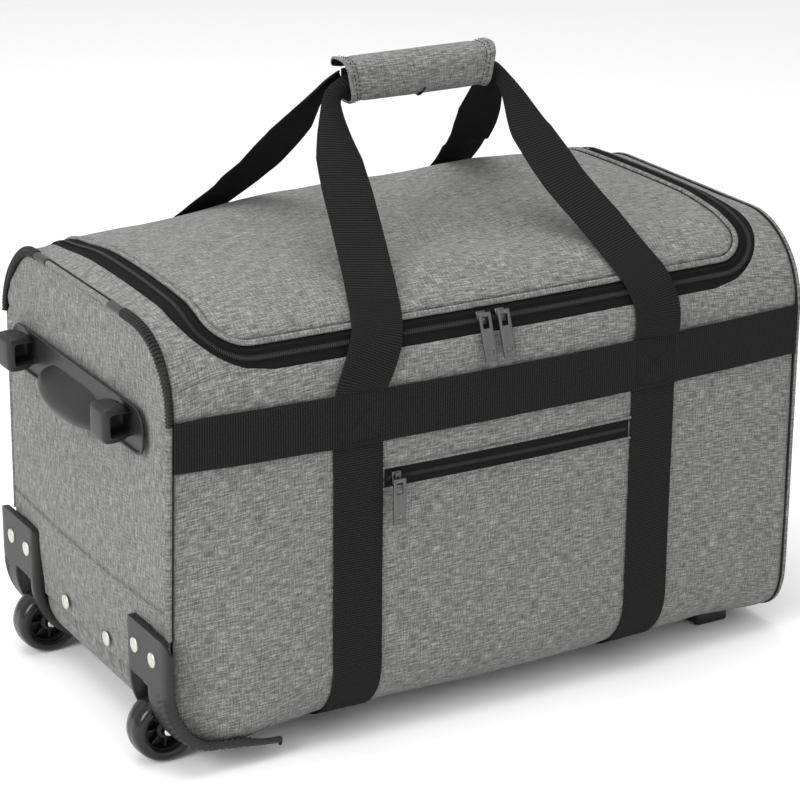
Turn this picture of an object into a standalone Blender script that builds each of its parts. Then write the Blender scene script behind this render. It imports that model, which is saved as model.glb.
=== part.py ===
"""Rolling duffel bag lying on its base: wheels at the -X end, trolley handle at the +X end.

Metres, +Z up. X runs along the bag from its middle, -Y is the front with the pocket, and the floor is Z 0.
"""

import math

import bmesh
import bpy
from mathutils import Matrix, Vector

# Fabric body
HALF_LENGTH = 0.270
SEAM_HALF_DEPTH = 0.152
FACE_BULGE = 0.012
END_HEIGHT = 0.342
LID_CROWN = 0.007
BASE_HEIGHT = 0.012
TOP_RADIUS = 0.065
BASE_RADIUS = 0.055
WHEEL_END_RADIUS = 0.045
WHEEL_END_BASE_RADIUS = 0.008
BASE_BLEND = 0.070
WALL = 0.0025
GAP = 0.0003
WRAP_END = HALF_LENGTH - 0.0015
END_BULGE = 0.006
PIPING_INSET = 0.0014
GUARD_START = 0.062
SEAM_Z = 0.127

# Webbing
WEBBING = 0.040
WEBBING_THICK = 0.0015
BAND_BOTTOM = 0.240
BAND_TOP = BAND_BOTTOM + WEBBING
STRAP_CENTRE = 0.128
BAND_OUT = 0.0024
LEG_OUT = 0.0030
LEG_FOOT = BAND_TOP + 0.002
LEG_TOP = 0.448
LEG_TOP_Y = 0.012
LEG_HUG = 0.060
BAR_Y = 0.006
HANDLE_PIVOT_OUT = 0.004
BAR_WIDTH = 0.026

# Main zip: its centre line over the skin is a U with rounded front corners, its front run bowed down
ZIP_X = 0.240
ZIP_FRONT = 0.156
ZIP_BOW = 0.0125
ZIP_BACK = -0.150
ZIP_CORNER = 0.040
TAPE_HALF = 0.0097
TAPE_THICK = 0.0012
SLIDER_X = {"left": -0.0225, "right": -0.0065}
SLIDER_HALF = 0.0045
SLIDER_THICK = 0.0042
TAB_LENGTH = 0.036
TAB_WIDTH = 0.0105
TAB_THICK = 0.0018
TAB_LEAN = math.radians(20)
HINGE_Y = 0.147
HINGE_Z = 0.332

# Pocket zip
POCKET_HALF_LENGTH = 0.106
POCKET_Z = 0.210
POCKET_HALF = 0.008
POCKET_SLIDER_X = -0.099

# Wheels
WHEEL_RADIUS = 0.026
WHEEL_HALF_WIDTH = 0.010
WHEEL_X = -0.263
WHEEL_Y = 0.108
AXLE_RADIUS = 0.004

# Wheel housings
HOUSING_FACE = -0.285
HOUSING_BACK = -0.276
HOUSING_END = -0.225
HOUSING_INNER = 0.088
HOUSING_OUTER = 0.160
CHEEK_OUTER = 0.150
HOUSING_TOP = 0.115
HOUSING_ROOF = 0.0565
WELL_HALF = 0.0135
NOTCH_TOP = 0.072
SKID_END = -0.190
RIVET_RADIUS = 0.0055
RIVET_Z = 0.092
RIVET_Y = (0.101, 0.131)
BASE_RIVET_Y = 0.038
BASE_RIVET_Z = 0.070

# Stand and lift grip on the wheel end
STAND_FACE = -0.2725
STAND_TOP = 0.278
STAND_BOTTOM = 0.241
STAND_HALF = 0.121
STAND_PLATE = 0.005
FOOT_IN = 0.076
FOOT_OUT = 0.100
END_REACH = 0.2985

# Telescopic trolley, lying on the base board
TUBE_Y = 0.066
TUBE_Z = 0.034
TUBE_WALL = 0.0014
TUBE_SIZES = {"outer": (0.0240, 0.0150), "middle": (0.0206, 0.0116), "inner": (0.0172, 0.0082)}
TUBE_LEFT = {"outer": -0.205, "middle": -0.200, "inner": -0.195}
TUBE_RIGHT = {"outer": 0.254, "middle": 0.258, "inner": 0.2705}
BEZEL_FACE = 0.2775
BEZEL_HALF = 0.094
BEZEL_LOW = 0.0185
BEZEL_HIGH = 0.0495
GRIP_HALF = 0.084
GRIP_FACE = 0.2865

# Carry grip
GRIP_LEFT = -0.058
GRIP_RIGHT = 0.084
GRIP_Z = 0.464
GRIP_HALF_HEIGHT = 0.018
GRIP_HALF_DEPTH = 0.014
GRIP_CORNER = 0.008
GRIP_WALL = 0.0022


def material(name, colour, roughness, metallic=0.0):
    found = bpy.data.materials.get(name)
    if found:
        return found
    made = bpy.data.materials.new(name)
    made.use_nodes = True
    shader = made.node_tree.nodes["Principled BSDF"]
    shader.inputs["Base Color"].default_value = (*colour, 1.0)
    shader.inputs["Roughness"].default_value = roughness
    shader.inputs["Metallic"].default_value = metallic
    return made


def fabric():
    return material("grey_fabric", (0.22, 0.22, 0.21), 0.9)


def webbing_black():
    return material("black_webbing", (0.018, 0.018, 0.017), 0.8)


def zip_black():
    return material("zip_tape", (0.022, 0.022, 0.022), 0.75)


def plastic():
    return material("dark_plastic", (0.045, 0.045, 0.046), 0.5)


def gunmetal():
    return material("gunmetal", (0.2, 0.2, 0.2), 0.35, 1.0)


def nickel():
    return material("nickel", (0.7, 0.69, 0.64), 0.3, 1.0)


def aluminium():
    return material("aluminium", (0.6, 0.6, 0.61), 0.35, 1.0)


def board():
    return material("stiffener_board", (0.05, 0.05, 0.05), 0.85)


def rubber():
    return material("tyre_rubber", (0.015, 0.015, 0.015), 0.35)


# Modelling tools


def finish(name, bm, finish_material, pivot=(0.0, 0.0, 0.0), smooth_angle=None):
    """Make the named object from bm, with its origin at pivot."""
    bmesh.ops.recalc_face_normals(bm, faces=bm.faces)
    bmesh.ops.translate(bm, verts=bm.verts, vec=-Vector(pivot))
    mesh = bpy.data.meshes.new(name)
    bm.to_mesh(mesh)
    bm.free()
    mesh.materials.append(finish_material)
    if smooth_angle:
        mesh.shade_smooth()
        mesh.set_sharp_from_angle(angle=math.radians(smooth_angle))
    made = bpy.data.objects.new(name, mesh)
    made.location = pivot
    bpy.context.scene.collection.objects.link(made)
    return made


def combine(target, other, operation):
    """Add a Boolean to target, and hide its other piece from the build."""
    step = target.modifiers.new(operation.lower(), "BOOLEAN")
    step.operation = operation
    step.solver = "EXACT"
    step.object = other
    other.hide_render = True
    other.display_type = "WIRE"


def ordered(low, high):
    pairs = [(min(a, b), max(a, b)) for a, b in zip(low, high)]
    return Vector([pair[0] for pair in pairs]), Vector([pair[1] for pair in pairs])


def box(name, low, high, finish_material, pivot=(0.0, 0.0, 0.0), bevel=0.0):
    low, high = ordered(low, high)
    bm = bmesh.new()
    verts = bmesh.ops.create_cube(bm, size=1.0)["verts"]
    bmesh.ops.scale(bm, vec=high - low, verts=verts)
    bmesh.ops.translate(bm, vec=(low + high) / 2, verts=verts)
    if bevel:
        bmesh.ops.bevel(
            bm, geom=bm.edges, offset=bevel, segments=2, affect="EDGES", profile=0.5, material=-1
        )
    return finish(name, bm, finish_material, pivot)


def turned(name, outline, centre, finish_material, steps=32, axis=(0.0, 1.0, 0.0)):
    """Turn a closed outline of (radius, distance along the axis) about the axis through centre."""
    bm = bmesh.new()
    centre, axis = Vector(centre), Vector(axis)
    verts = [bm.verts.new(centre + axis * run + Vector((0, 0, radius))) for radius, run in outline]
    edges = [bm.edges.new((verts[i - 1], verts[i])) for i in range(len(verts))]
    bmesh.ops.spin(
        bm,
        geom=verts + edges,
        cent=centre,
        axis=axis,
        angle=math.tau,
        steps=steps,
        use_merge=True,
    )
    bmesh.ops.remove_doubles(bm, verts=bm.verts, dist=0.000001)
    return finish(name, bm, finish_material, tuple(centre), 35)


def bar(name, radius, start, end, finish_material, steps=20):
    """A plain round bar from start to end."""
    start, end = Vector(start), Vector(end)
    run = end - start
    bm = bmesh.new()
    verts = bmesh.ops.create_cone(
        bm, cap_ends=True, segments=steps, radius1=radius, radius2=radius, depth=run.length
    )["verts"]
    turn = run.to_track_quat("Z", "Y").to_matrix().to_4x4()
    bmesh.ops.transform(bm, matrix=Matrix.Translation((start + end) / 2) @ turn, verts=verts)
    return finish(name, bm, finish_material, tuple(start), 35)


def prism(name, outline, low, high, finish_material, axis="Y", pivot=(0.0, 0.0, 0.0)):
    """Extrude an outline between two distances: of (x, z) points along Y, or of (y, z) points along X."""
    bm = bmesh.new()
    if axis == "Y":
        verts = [bm.verts.new((a, low, b)) for a, b in outline]
        way = Vector((0, high - low, 0))
    else:
        verts = [bm.verts.new((low, a, b)) for a, b in outline]
        way = Vector((high - low, 0, 0))
    face = bm.faces.new(verts)
    made = bmesh.ops.extrude_face_region(bm, geom=[face])
    moved = [item for item in made["geom"] if isinstance(item, bmesh.types.BMVert)]
    bmesh.ops.translate(bm, vec=way, verts=moved)
    return finish(name, bm, finish_material, pivot)


def grid_solid(name, outer, inner, finish_material, pivot=(0.0, 0.0, 0.0)):
    """A closed skin between two grids of points of the same size."""
    rows, columns = len(outer), len(outer[0])
    bm = bmesh.new()
    top = [[bm.verts.new(point) for point in row] for row in outer]
    low = [[bm.verts.new(point) for point in row] for row in inner]
    for i in range(rows - 1):
        for j in range(columns - 1):
            for layer in (top, low):
                bm.faces.new((layer[i][j], layer[i][j + 1], layer[i + 1][j + 1], layer[i + 1][j]))
    rim = [(0, j) for j in range(columns)]
    rim += [(i, columns - 1) for i in range(1, rows)]
    rim += [(rows - 1, j) for j in range(columns - 2, -1, -1)]
    rim += [(i, 0) for i in range(rows - 2, 0, -1)]
    for (a, b), (c, d) in zip(rim, rim[1:] + rim[:1]):
        bm.faces.new((top[a][b], top[c][d], low[c][d], low[a][b]))
    return finish(name, bm, finish_material, pivot, 40)


def webbing_strip(name, stations, finish_material, pivot=(0.0, 0.0, 0.0)):
    """A strip through stations of (centre, width direction, normal, width)."""
    outer, inner = [], []
    for centre, across, normal, width in stations:
        edge = across * width / 2
        lift = normal * WEBBING_THICK / 2
        outer.append([centre - edge + lift, centre + edge + lift])
        inner.append([centre - edge - lift, centre + edge - lift])
    return grid_solid(name, outer, inner, finish_material, pivot)


def steps(low, high, count):
    return [low + (high - low) * i / count for i in range(count + 1)]


def smoothstep(value):
    value = min(1.0, max(0.0, value))
    return value * value * (3 - 2 * value)


# The skin: a rounded section that changes along X


def half_depth(x):
    return SEAM_HALF_DEPTH + FACE_BULGE * (1 - (x / HALF_LENGTH) ** 2)


def top_height(x):
    return END_HEIGHT + LID_CROWN * (1 - abs(x / HALF_LENGTH) ** 2.5)


def base_height(x):
    run = max(0.0, WHEEL_END_RADIUS - (x + HALF_LENGTH))
    return BASE_HEIGHT + WHEEL_END_RADIUS - math.sqrt(WHEEL_END_RADIUS**2 - min(run, WHEEL_END_RADIUS) ** 2)


def base_radius(x):
    blend = smoothstep((x + HALF_LENGTH) / BASE_BLEND)
    return WHEEL_END_BASE_RADIUS + (BASE_RADIUS - WHEEL_END_BASE_RADIUS) * blend


def run_to_height(x, z):
    """The distance over the skin from the middle of the top down to a height on the flat side."""
    return half_depth(x) - TOP_RADIUS + TOP_RADIUS * math.pi / 2 + top_height(x) - TOP_RADIUS - z


def skin(x, run, out=0.0):
    """A point on the skin, run metres over it from the middle of the top, towards the front if positive."""
    depth, top, base, low = half_depth(x), top_height(x), base_height(x), base_radius(x)
    flat = depth - TOP_RADIUS
    arc = TOP_RADIUS * math.pi / 2
    side = top - TOP_RADIUS - base - low
    low_arc = low * math.pi / 2
    left = abs(run)
    if left < flat:
        y, z, normal = left, top, (0.0, 1.0)
    elif left < flat + arc:
        angle = (left - flat) / TOP_RADIUS
        normal = (math.sin(angle), math.cos(angle))
        y, z = flat + TOP_RADIUS * normal[0], top - TOP_RADIUS + TOP_RADIUS * normal[1]
    elif left < flat + arc + side:
        y, z, normal = depth, top - TOP_RADIUS - (left - flat - arc), (1.0, 0.0)
    elif left < flat + arc + side + low_arc:
        angle = (left - flat - arc - side) / low
        normal = (math.cos(angle), -math.sin(angle))
        y, z = depth - low + low * normal[0], base + low + low * normal[1]
    else:
        beyond = left - flat - arc - side - low_arc
        y, z, normal = depth - low - beyond, base, (0.0, -1.0)
    side_sign = -1 if run > 0 else 1
    return Vector((x, side_sign * (y + normal[0] * out), z + normal[1] * out))


def half_girth(x):
    """The distance over the skin from the middle of the top to the middle of the base."""
    depth, low = half_depth(x), base_radius(x)
    side = top_height(x) - TOP_RADIUS - base_height(x) - low
    return depth - TOP_RADIUS + TOP_RADIUS * math.pi / 2 + side + low * math.pi / 2 + depth - low


def sheet(name, mapping, columns, rows, out, thick, finish_material, pivot=(0.0, 0.0, 0.0)):
    """A layer on the skin. mapping turns (u, v), each from 0 to 1, into (x, run)."""
    grid = [[mapping(u, v) for u in steps(0, 1, columns)] for v in steps(0, 1, rows)]
    outer = [[skin(x, run, out) for x, run in row] for row in grid]
    inner = [[skin(x, run, out - thick) for x, run in row] for row in grid]
    return grid_solid(name, outer, inner, finish_material, pivot)


def between(low, high, value):
    return low + (high - low) * value


# The zip's path over the skin


def bow(x, run):
    """A run over the front of the lid, made longer towards the middle so that the zip hangs level."""
    sag = ZIP_BOW * max(0.0, 1 - (x / ZIP_X) ** 2)
    return run + sag * smoothstep(run / ZIP_FRONT)


def zip_half_width(run, offset):
    """Half the width across the bag that the zip line encloses, offset outwards, at a run over the skin."""
    corner = ZIP_CORNER + offset
    rise = run - (ZIP_FRONT - ZIP_CORNER)
    if rise <= 0:
        return ZIP_X + offset
    return ZIP_X - ZIP_CORNER + math.sqrt(max(0.0, corner**2 - rise**2))


def zip_point(part, offset):
    """A point of the zip line, part 0 to 1 from its back left end to its back right end, offset outwards."""
    side = ZIP_FRONT - ZIP_CORNER - ZIP_BACK
    corner = ZIP_CORNER * math.pi / 2
    front = 2 * (ZIP_X - ZIP_CORNER)
    along = part * (2 * side + 2 * corner + front)
    mirrored = along > side + corner + front / 2
    if mirrored:
        along = 2 * side + 2 * corner + front - along
    if along < side:
        x, run = -ZIP_X - offset, ZIP_BACK + along
    elif along < side + corner:
        angle = (along - side) / ZIP_CORNER
        radius = ZIP_CORNER + offset
        x = -ZIP_X + ZIP_CORNER - radius * math.cos(angle)
        run = ZIP_FRONT - ZIP_CORNER + radius * math.sin(angle)
    else:
        x, run = -ZIP_X + ZIP_CORNER + along - side - corner, ZIP_FRONT + offset
    return (-x if mirrored else x), run


# Fabric panels


def side_panel(name, side):
    """The front (side 1) or back (side -1) panel, from the zip or the lid hinge down to the base corner."""

    def mapping(u, v):
        x = between(-WRAP_END, WRAP_END, u)
        upper = bow(x, ZIP_FRONT + TAPE_HALF + GAP) if side > 0 else -ZIP_BACK + 0.004
        lower = run_to_height(x, BASE_HEIGHT + BASE_RADIUS + GAP)
        return x, side * between(upper, lower, v)

    sheet(name, mapping, 10, 10, 0.0, WALL, fabric())


def base_panel():
    """The base with its rounded long edges, clear of the wheel wells."""

    def mapping(u, v):
        x = between(HOUSING_END + 0.003, WRAP_END, u)
        low = run_to_height(x, BASE_HEIGHT + BASE_RADIUS - GAP)
        girth = half_girth(x)
        run = between(low, 2 * girth - low, v)
        return x, run if run < girth else run - 2 * girth

    made = sheet("base_panel", mapping, 10, 32, 0.0, WALL, fabric())
    combine(made, wheel_end_base(), "UNION")


def wheel_end_base():
    """The rounded piece of the base between the two wheel housings."""
    outer, inner = [], []
    for angle in steps(0, math.pi / 2, 8):
        x = -HALF_LENGTH + WHEEL_END_RADIUS * (1 - math.cos(angle))
        z = BASE_HEIGHT + WHEEL_END_RADIUS * (1 - math.sin(angle))
        slope = Vector((math.cos(angle), 0, math.sin(angle))) * WALL
        outer.append([Vector((x, y, z)) for y in (-HOUSING_INNER + 0.001, HOUSING_INNER - 0.001)])
        inner.append([point + slope for point in outer[-1]])
    reach = Vector((0.006, 0, 0))
    outer.append([point + reach for point in outer[-1]])
    inner.append([point + reach for point in inner[-1]])
    return grid_solid("wheel_end_base", outer, inner, fabric())


def top_border(name, side):
    """The fabric between the zip and the end seam: side -1 at the wheels, 1 at the trolley handle."""

    def mapping(u, v):
        run = between(ZIP_BACK - 0.0035, ZIP_FRONT + TAPE_HALF - GAP / 2, v)
        x = side * between(zip_half_width(run, TAPE_HALF + 3 * GAP), WRAP_END, u)
        return x, bow(x, run)

    sheet(name, mapping, 2, 52, 0.0, WALL, fabric())


def lid_panel():
    def mapping(u, v):
        run = between(ZIP_BACK + 0.004, ZIP_FRONT - TAPE_HALF - 3 * GAP, v)
        half = zip_half_width(run, -TAPE_HALF - 3 * GAP)
        x = between(-half, half, u)
        return x, bow(x, run)

    sheet("lid_panel", mapping, 12, 24, 0.0, WALL, fabric(), (0.0, HINGE_Y, HINGE_Z))


def end_outline(offset, x=HALF_LENGTH, count=8):
    """The seam of an end as (y, z) points, offset inwards, once round."""
    low = WHEEL_END_BASE_RADIUS if x < 0 else BASE_RADIUS
    bottom = BASE_HEIGHT + WHEEL_END_RADIUS if x < 0 else BASE_HEIGHT
    corners = (
        (SEAM_HALF_DEPTH, END_HEIGHT, TOP_RADIUS, 0),
        (SEAM_HALF_DEPTH, bottom, low, 3),
        (-SEAM_HALF_DEPTH, bottom, low, 2),
        (-SEAM_HALF_DEPTH, END_HEIGHT, TOP_RADIUS, 1),
    )
    points = []
    for y, z, radius, quarter in corners:
        centre_y = y - math.copysign(radius, y)
        centre_z = z - radius if z > 0.2 else z + radius
        turn = steps(0, math.pi / 2, count)
        start = quarter * math.pi / 2
        for angle in reversed(turn):
            way = start + angle
            reach = max(0.0005, radius - offset)
            points.append((centre_y + reach * math.cos(way), centre_z + reach * math.sin(way)))
    return points


def end_bulge(z):
    """How much of the end's bulge is left at a height: the stand keeps the upper part flat."""
    return END_BULGE * (1 - smoothstep((z - 0.13) / 0.09))


def end_panel(name, side):
    """A dished panel inside the end seam."""
    x = side * HALF_LENGTH
    outline = end_outline(0.0045, x)
    centre_y, centre_z = 0.0, 0.2
    bm = bmesh.new()
    layers = []
    for lift in (0.0, -WALL):
        rings = []
        for scale in (1.0, 0.85, 0.65, 0.4):
            ring = []
            for y, z in outline:
                height = centre_z + (z - centre_z) * scale
                bulge = end_bulge(height) * (1 - scale**2) if side < 0 else 0.004 * (1 - scale**2)
                where = side * (HALF_LENGTH + 0.0015 + bulge + lift)
                ring.append(bm.verts.new((where, centre_y + (y - centre_y) * scale, height)))
            rings.append(ring)
        layers.append(rings)
    count = len(outline)
    for rings in layers:
        for ring, smaller in zip(rings, rings[1:]):
            for i in range(count):
                bm.faces.new((ring[i - 1], ring[i], smaller[i], smaller[i - 1]))
        bm.faces.new(rings[-1])
    for i in range(count):
        bm.faces.new((layers[0][0][i - 1], layers[0][0][i], layers[1][0][i], layers[1][0][i - 1]))
    return finish(name, bm, fabric(), smooth_angle=40)


def split_end(name, keep_above):
    """One of the two pieces of the wheel-end panel, on either side of the seam across it."""
    made = end_panel(name, -1)
    low = SEAM_Z + GAP if keep_above else -0.1
    high = 0.5 if keep_above else SEAM_Z - GAP
    keep = box(name + "_keep", (-0.4, -0.3, low), (0.0, 0.3, high), fabric())
    combine(made, keep, "INTERSECT")


def piping(name, side, points, closed=False):
    """A round cord along the end seam, through (y, z) points."""
    curve = bpy.data.curves.new(name, "CURVE")
    curve.dimensions = "3D"
    curve.bevel_depth = 0.0024
    curve.bevel_resolution = 1
    curve.use_fill_caps = True
    spline = curve.splines.new("POLY")
    spline.points.add(len(points) - 1)
    where = side * (WRAP_END + GAP + 0.0024)
    for point, (y, z) in zip(spline.points, points):
        point.co = (where, y, z, 1.0)
    spline.use_cyclic_u = closed
    made = bpy.data.objects.new(name, curve)
    curve.materials.append(fabric() if "piping" in name else plastic())
    bpy.context.scene.collection.objects.link(made)


def end_piping():
    """Piping round both ends. At the wheel end, ribbed sleeves guard the two upper corners instead."""
    piping("piping_handle_end", 1, end_outline(PIPING_INSET, HALF_LENGTH), True)
    outline = end_outline(PIPING_INSET, -HALF_LENGTH)
    arc = len(outline) // 4
    top = outline[0][1]
    side = outline[arc - 1]
    piping("piping_wheel_end_top", -1, ((-GUARD_START + GAP, top), (GUARD_START - GAP, top)))
    piping("corner_guard_back", -1, [(GUARD_START, top)] + outline[:arc])
    piping("corner_guard_front", -1, outline[-arc:] + [(-GUARD_START, top)])
    for end, facing in (("front", -1), ("back", 1)):
        points = ((facing * side[0], side[1] - GAP), (facing * side[0], HOUSING_TOP + 0.002))
        piping("piping_wheel_end_" + end, -1, points)


# Webbing


def band(name, side):
    def mapping(u, v):
        x = between(-WRAP_END, WRAP_END, u)
        return x, side * run_to_height(x, between(BAND_TOP, BAND_BOTTOM, v))

    sheet(name, mapping, 12, 1, BAND_OUT + WEBBING_THICK, WEBBING_THICK, webbing_black())


def strap_loop(name, side):
    """The strap sewn round the bag below the band: down the front, under the base and up the back."""
    centre = side * STRAP_CENTRE

    def mapping(u, v):
        x = between(centre - WEBBING / 2, centre + WEBBING / 2, u)
        low = run_to_height(x, BAND_TOP)
        girth = half_girth(x)
        run = between(low, 2 * girth - low, v)
        return x, run if run < girth else run - 2 * girth

    sheet(name, mapping, 1, 80, 2 * GAP + WEBBING_THICK, WEBBING_THICK, webbing_black())


def handle_pivot_depth():
    """How far from the middle plane a carry handle turns: outside the strap, to fold clear of the band."""
    return half_depth(STRAP_CENTRE) + LEG_OUT + HANDLE_PIVOT_OUT


def leg_path(facing, foot_x, top_x, lean):
    """Points and normals up one leg of a carry handle: over the bag's top corner, then straight up."""
    out = LEG_OUT + WEBBING_THICK / 2
    top = Vector((top_x, facing * LEG_TOP_Y, LEG_TOP))

    def centre_x(z):
        part = max(0.0, (z - LEG_FOOT) / (LEG_TOP - LEG_FOOT))
        return between(foot_x, top_x, part**lean)

    path = []
    start = run_to_height(foot_x, LEG_FOOT)
    for run in steps(start, start - LEG_HUG, 5):
        height = skin(foot_x, -facing * run, out).z
        x = centre_x(height)
        point = skin(x, -facing * run, out)
        path.append((point, (skin(x, -facing * run, 1.0) - skin(x, -facing * run, 0.0)).normalized()))
    last, normal = path[-1]
    for part in (0.25, 0.5, 0.75, 1.0):
        point = last.lerp(top, part)
        point.x = centre_x(point.z)
        path.append((point, normal))
    return path


def carry_handle(name, facing, left, right):
    """A handle of one strap: up the left leg, along the grip and down the right leg."""
    bar_y = facing * BAR_Y
    flat = Vector((0, facing, 0))
    turns = (GRIP_LEFT - 0.006, GRIP_LEFT + 0.020, GRIP_RIGHT - 0.020, GRIP_RIGHT + 0.006)
    corners = [(Vector((x, bar_y, GRIP_Z)), flat) for x in turns]
    path = leg_path(facing, *left) + corners + list(reversed(leg_path(facing, *right)))
    stations = []
    for index, (point, normal) in enumerate(path):
        before = path[max(0, index - 1)][0]
        after = path[min(len(path) - 1, index + 1)][0]
        arriving = (point - before).normalized()
        leaving = (after - point).normalized()
        across = normal.cross((arriving + leaving).normalized()).normalized()
        if index in (0, len(path) - 1):
            across = Vector((math.copysign(1.0, across.x), 0.0, 0.0))
        narrow = smoothstep((point.z - 0.40) / 0.05)
        stations.append((point, across, normal, between(WEBBING, BAR_WIDTH, narrow)))
    pivot = (0.0, facing * handle_pivot_depth(), LEG_FOOT)
    webbing_strip(name, stations, webbing_black(), pivot)


def grip_wrap():
    """A padded wrap round both handles, open along its back so that the back handle can leave it."""
    rings = []
    for wall in (0.0, GRIP_WALL):
        ring = []
        for quarter, (side_y, side_z) in enumerate(((1, -1), (-1, -1), (-1, 1), (1, 1))):
            for angle in steps(0, math.pi / 2, 3):
                way = -quarter * math.pi / 2 - angle
                radius = GRIP_CORNER - wall
                y = side_y * (GRIP_HALF_DEPTH - GRIP_CORNER) + radius * math.cos(way)
                ring.append((y, GRIP_Z + side_z * (GRIP_HALF_HEIGHT - GRIP_CORNER) + radius * math.sin(way)))
        rings.append(ring)
    pivot = (0.0, -handle_pivot_depth(), LEG_FOOT)
    prism("grip_wrap", rings[0] + rings[1][::-1], GRIP_LEFT, GRIP_RIGHT, fabric(), "X", pivot)


def end_strap():
    """A grab strap across the trolley end, bowed out for fingers."""
    stations = []
    for angle in steps(-1.0, 1.0, 12):
        y = 0.120 * angle
        x = 0.2785 + (END_REACH - 0.2785 - WEBBING_THICK / 2) * (1 - angle**4)
        slope = Vector((1, 0.15 * angle**3, 0)).normalized()
        stations.append((Vector((x, y, 0.172)), Vector((0, 0, 1)), slope, 0.025))
    webbing_strip("end_strap", stations, webbing_black())


# Zips


def zip_tape(name, low, high, pivot=(0.0, 0.0, 0.0)):
    def mapping(u, v):
        x, run = zip_point(v, between(low, high, u))
        return x, bow(x, run)

    sheet(name, mapping, 1, 72, 0.0, TAPE_THICK, zip_black(), pivot)


def slider_and_tab(side):
    """A slider on the lid's tape and the pull tab that hangs from it down the front."""
    x = SLIDER_X[side]
    run = bow(x, ZIP_FRONT)
    middle = skin(x, run)
    normal = skin(x, run, 1.0) - middle
    down = Vector((0.0, normal.z, -abs(normal.y)))
    down.y = -abs(down.y)
    half = Vector((SLIDER_HALF, 0, 0))
    block = [[], []]
    for layer, lift in enumerate((GAP, SLIDER_THICK)):
        for low in (-0.0065, SLIDER_HALF):
            point = middle + down * low + normal * lift
            block[layer].append([point - half, point + half])
    grid_solid("zip_slider_" + side, block[1], block[0], gunmetal(), tuple(middle))
    pivot = middle - down * 0.0045 + normal * 0.0046
    tab_panel("zip_tab_" + side, pivot, TAB_LEAN)


def tab_panel(name, pivot, lean):
    """A flat pull tab with a window at its top, hanging from its pivot and leaning out at its foot."""
    turn = Matrix.Rotation(-lean, 4, "X")
    half = TAB_WIDTH / 2
    pieces = []
    for piece, low, high in (
        (name, (-half, -0.0016 - TAB_THICK, -TAB_LENGTH), (half, -0.0016, 0.0)),
        (name + "_window", (-0.0026, -0.01, -0.0125), (0.0026, 0.01, -0.0040)),
    ):
        made = box(piece, low, high, gunmetal())
        made.data.transform(turn)
        made.location = pivot
        pieces.append(made)
    combine(*pieces, "DIFFERENCE")


def pocket_zip():
    def mapping(u, v):
        x = between(-POCKET_HALF_LENGTH, POCKET_HALF_LENGTH, u)
        return x, run_to_height(x, between(POCKET_Z + POCKET_HALF, POCKET_Z - POCKET_HALF, v))

    sheet("pocket_zip_tape", mapping, 6, 1, GAP + TAPE_THICK, TAPE_THICK, zip_black())
    y = -half_depth(0.0) - GAP - TAPE_THICK - GAP
    low = (POCKET_SLIDER_X - SLIDER_HALF, y - 0.0036, POCKET_Z - SLIDER_HALF)
    high = (POCKET_SLIDER_X + SLIDER_HALF, y, POCKET_Z + 0.0055)
    box("pocket_slider", low, high, gunmetal(), (POCKET_SLIDER_X, y, POCKET_Z))
    tab_panel("pocket_tab", Vector((POCKET_SLIDER_X, y - 0.0038, POCKET_Z + 0.0015)), 0.0)


# Hard parts


def base_board():
    box("base_board", (-0.218, -0.094, 0.0150), (0.262, 0.094, 0.0170), board())


def wheel_housing(name, side):
    def across(value):
        return side * value

    roof = (HOUSING_END, across(CHEEK_OUTER), HOUSING_ROOF)
    made = box(name, (HOUSING_FACE, across(HOUSING_INNER), 0.016), roof, plastic())
    plate_high = (HOUSING_BACK, across(HOUSING_OUTER), HOUSING_TOP)
    plate = box(name + "_plate", (HOUSING_FACE, across(HOUSING_INNER), 0.030), plate_high, plastic())
    combine(made, plate, "UNION")
    skid_outline = (
        (HOUSING_END - 0.010, 0.004),
        (HOUSING_END + 0.008, 0.004),
        (SKID_END, 0.0085),
        (SKID_END, 0.0115),
        (HOUSING_END + 0.001, 0.0115),
        (HOUSING_END - 0.010, 0.030),
    )
    sides = sorted((across(WHEEL_Y + WELL_HALF + 0.002), across(CHEEK_OUTER)))
    skid = prism(name + "_skid", skid_outline, *sides, plastic())
    combine(made, skid, "UNION")
    well_low = (HOUSING_FACE - 0.01, across(WHEEL_Y - WELL_HALF), -0.01)
    well = box(name + "_well", well_low, (-0.234, across(WHEEL_Y + WELL_HALF), 0.0538), plastic())
    combine(made, well, "DIFFERENCE")
    notch_high = (HOUSING_BACK + 0.001, across(WHEEL_Y + WELL_HALF), NOTCH_TOP)
    notch_low = (HOUSING_FACE - 0.01, across(WHEEL_Y - WELL_HALF), 0.04)
    notch = box(name + "_notch", notch_low, notch_high, plastic())
    combine(made, notch, "DIFFERENCE")


def wheel(end, side):
    centre = (WHEEL_X, side * WHEEL_Y, WHEEL_RADIUS)
    half = WHEEL_HALF_WIDTH
    tread = [(0.0176, -0.0088), (0.0225, -half), (0.0252, -0.0065), (WHEEL_RADIUS, 0.0)]
    tread += [(0.0252, 0.0065), (0.0225, half), (0.0176, 0.0088)]
    turned("tyre_" + end, tread, centre, rubber())
    bore = AXLE_RADIUS + GAP
    hub = [(bore, -0.0088), (0.0075, -0.0088), (0.0085, -0.0030), (0.0150, -0.0030), (0.0158, -0.0080)]
    hub += [(0.0173, -0.0080), (0.0173, 0.0080), (0.0158, 0.0080), (0.0150, 0.0030), (0.0085, 0.0030)]
    hub += [(0.0075, 0.0088), (bore, 0.0088)]
    turned("hub_" + end, hub, centre, plastic())
    reach = WELL_HALF - GAP
    start = (WHEEL_X, side * WHEEL_Y - reach, WHEEL_RADIUS)
    bar("axle_" + end, AXLE_RADIUS, start, (WHEEL_X, side * WHEEL_Y + reach, WHEEL_RADIUS), nickel())


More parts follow.
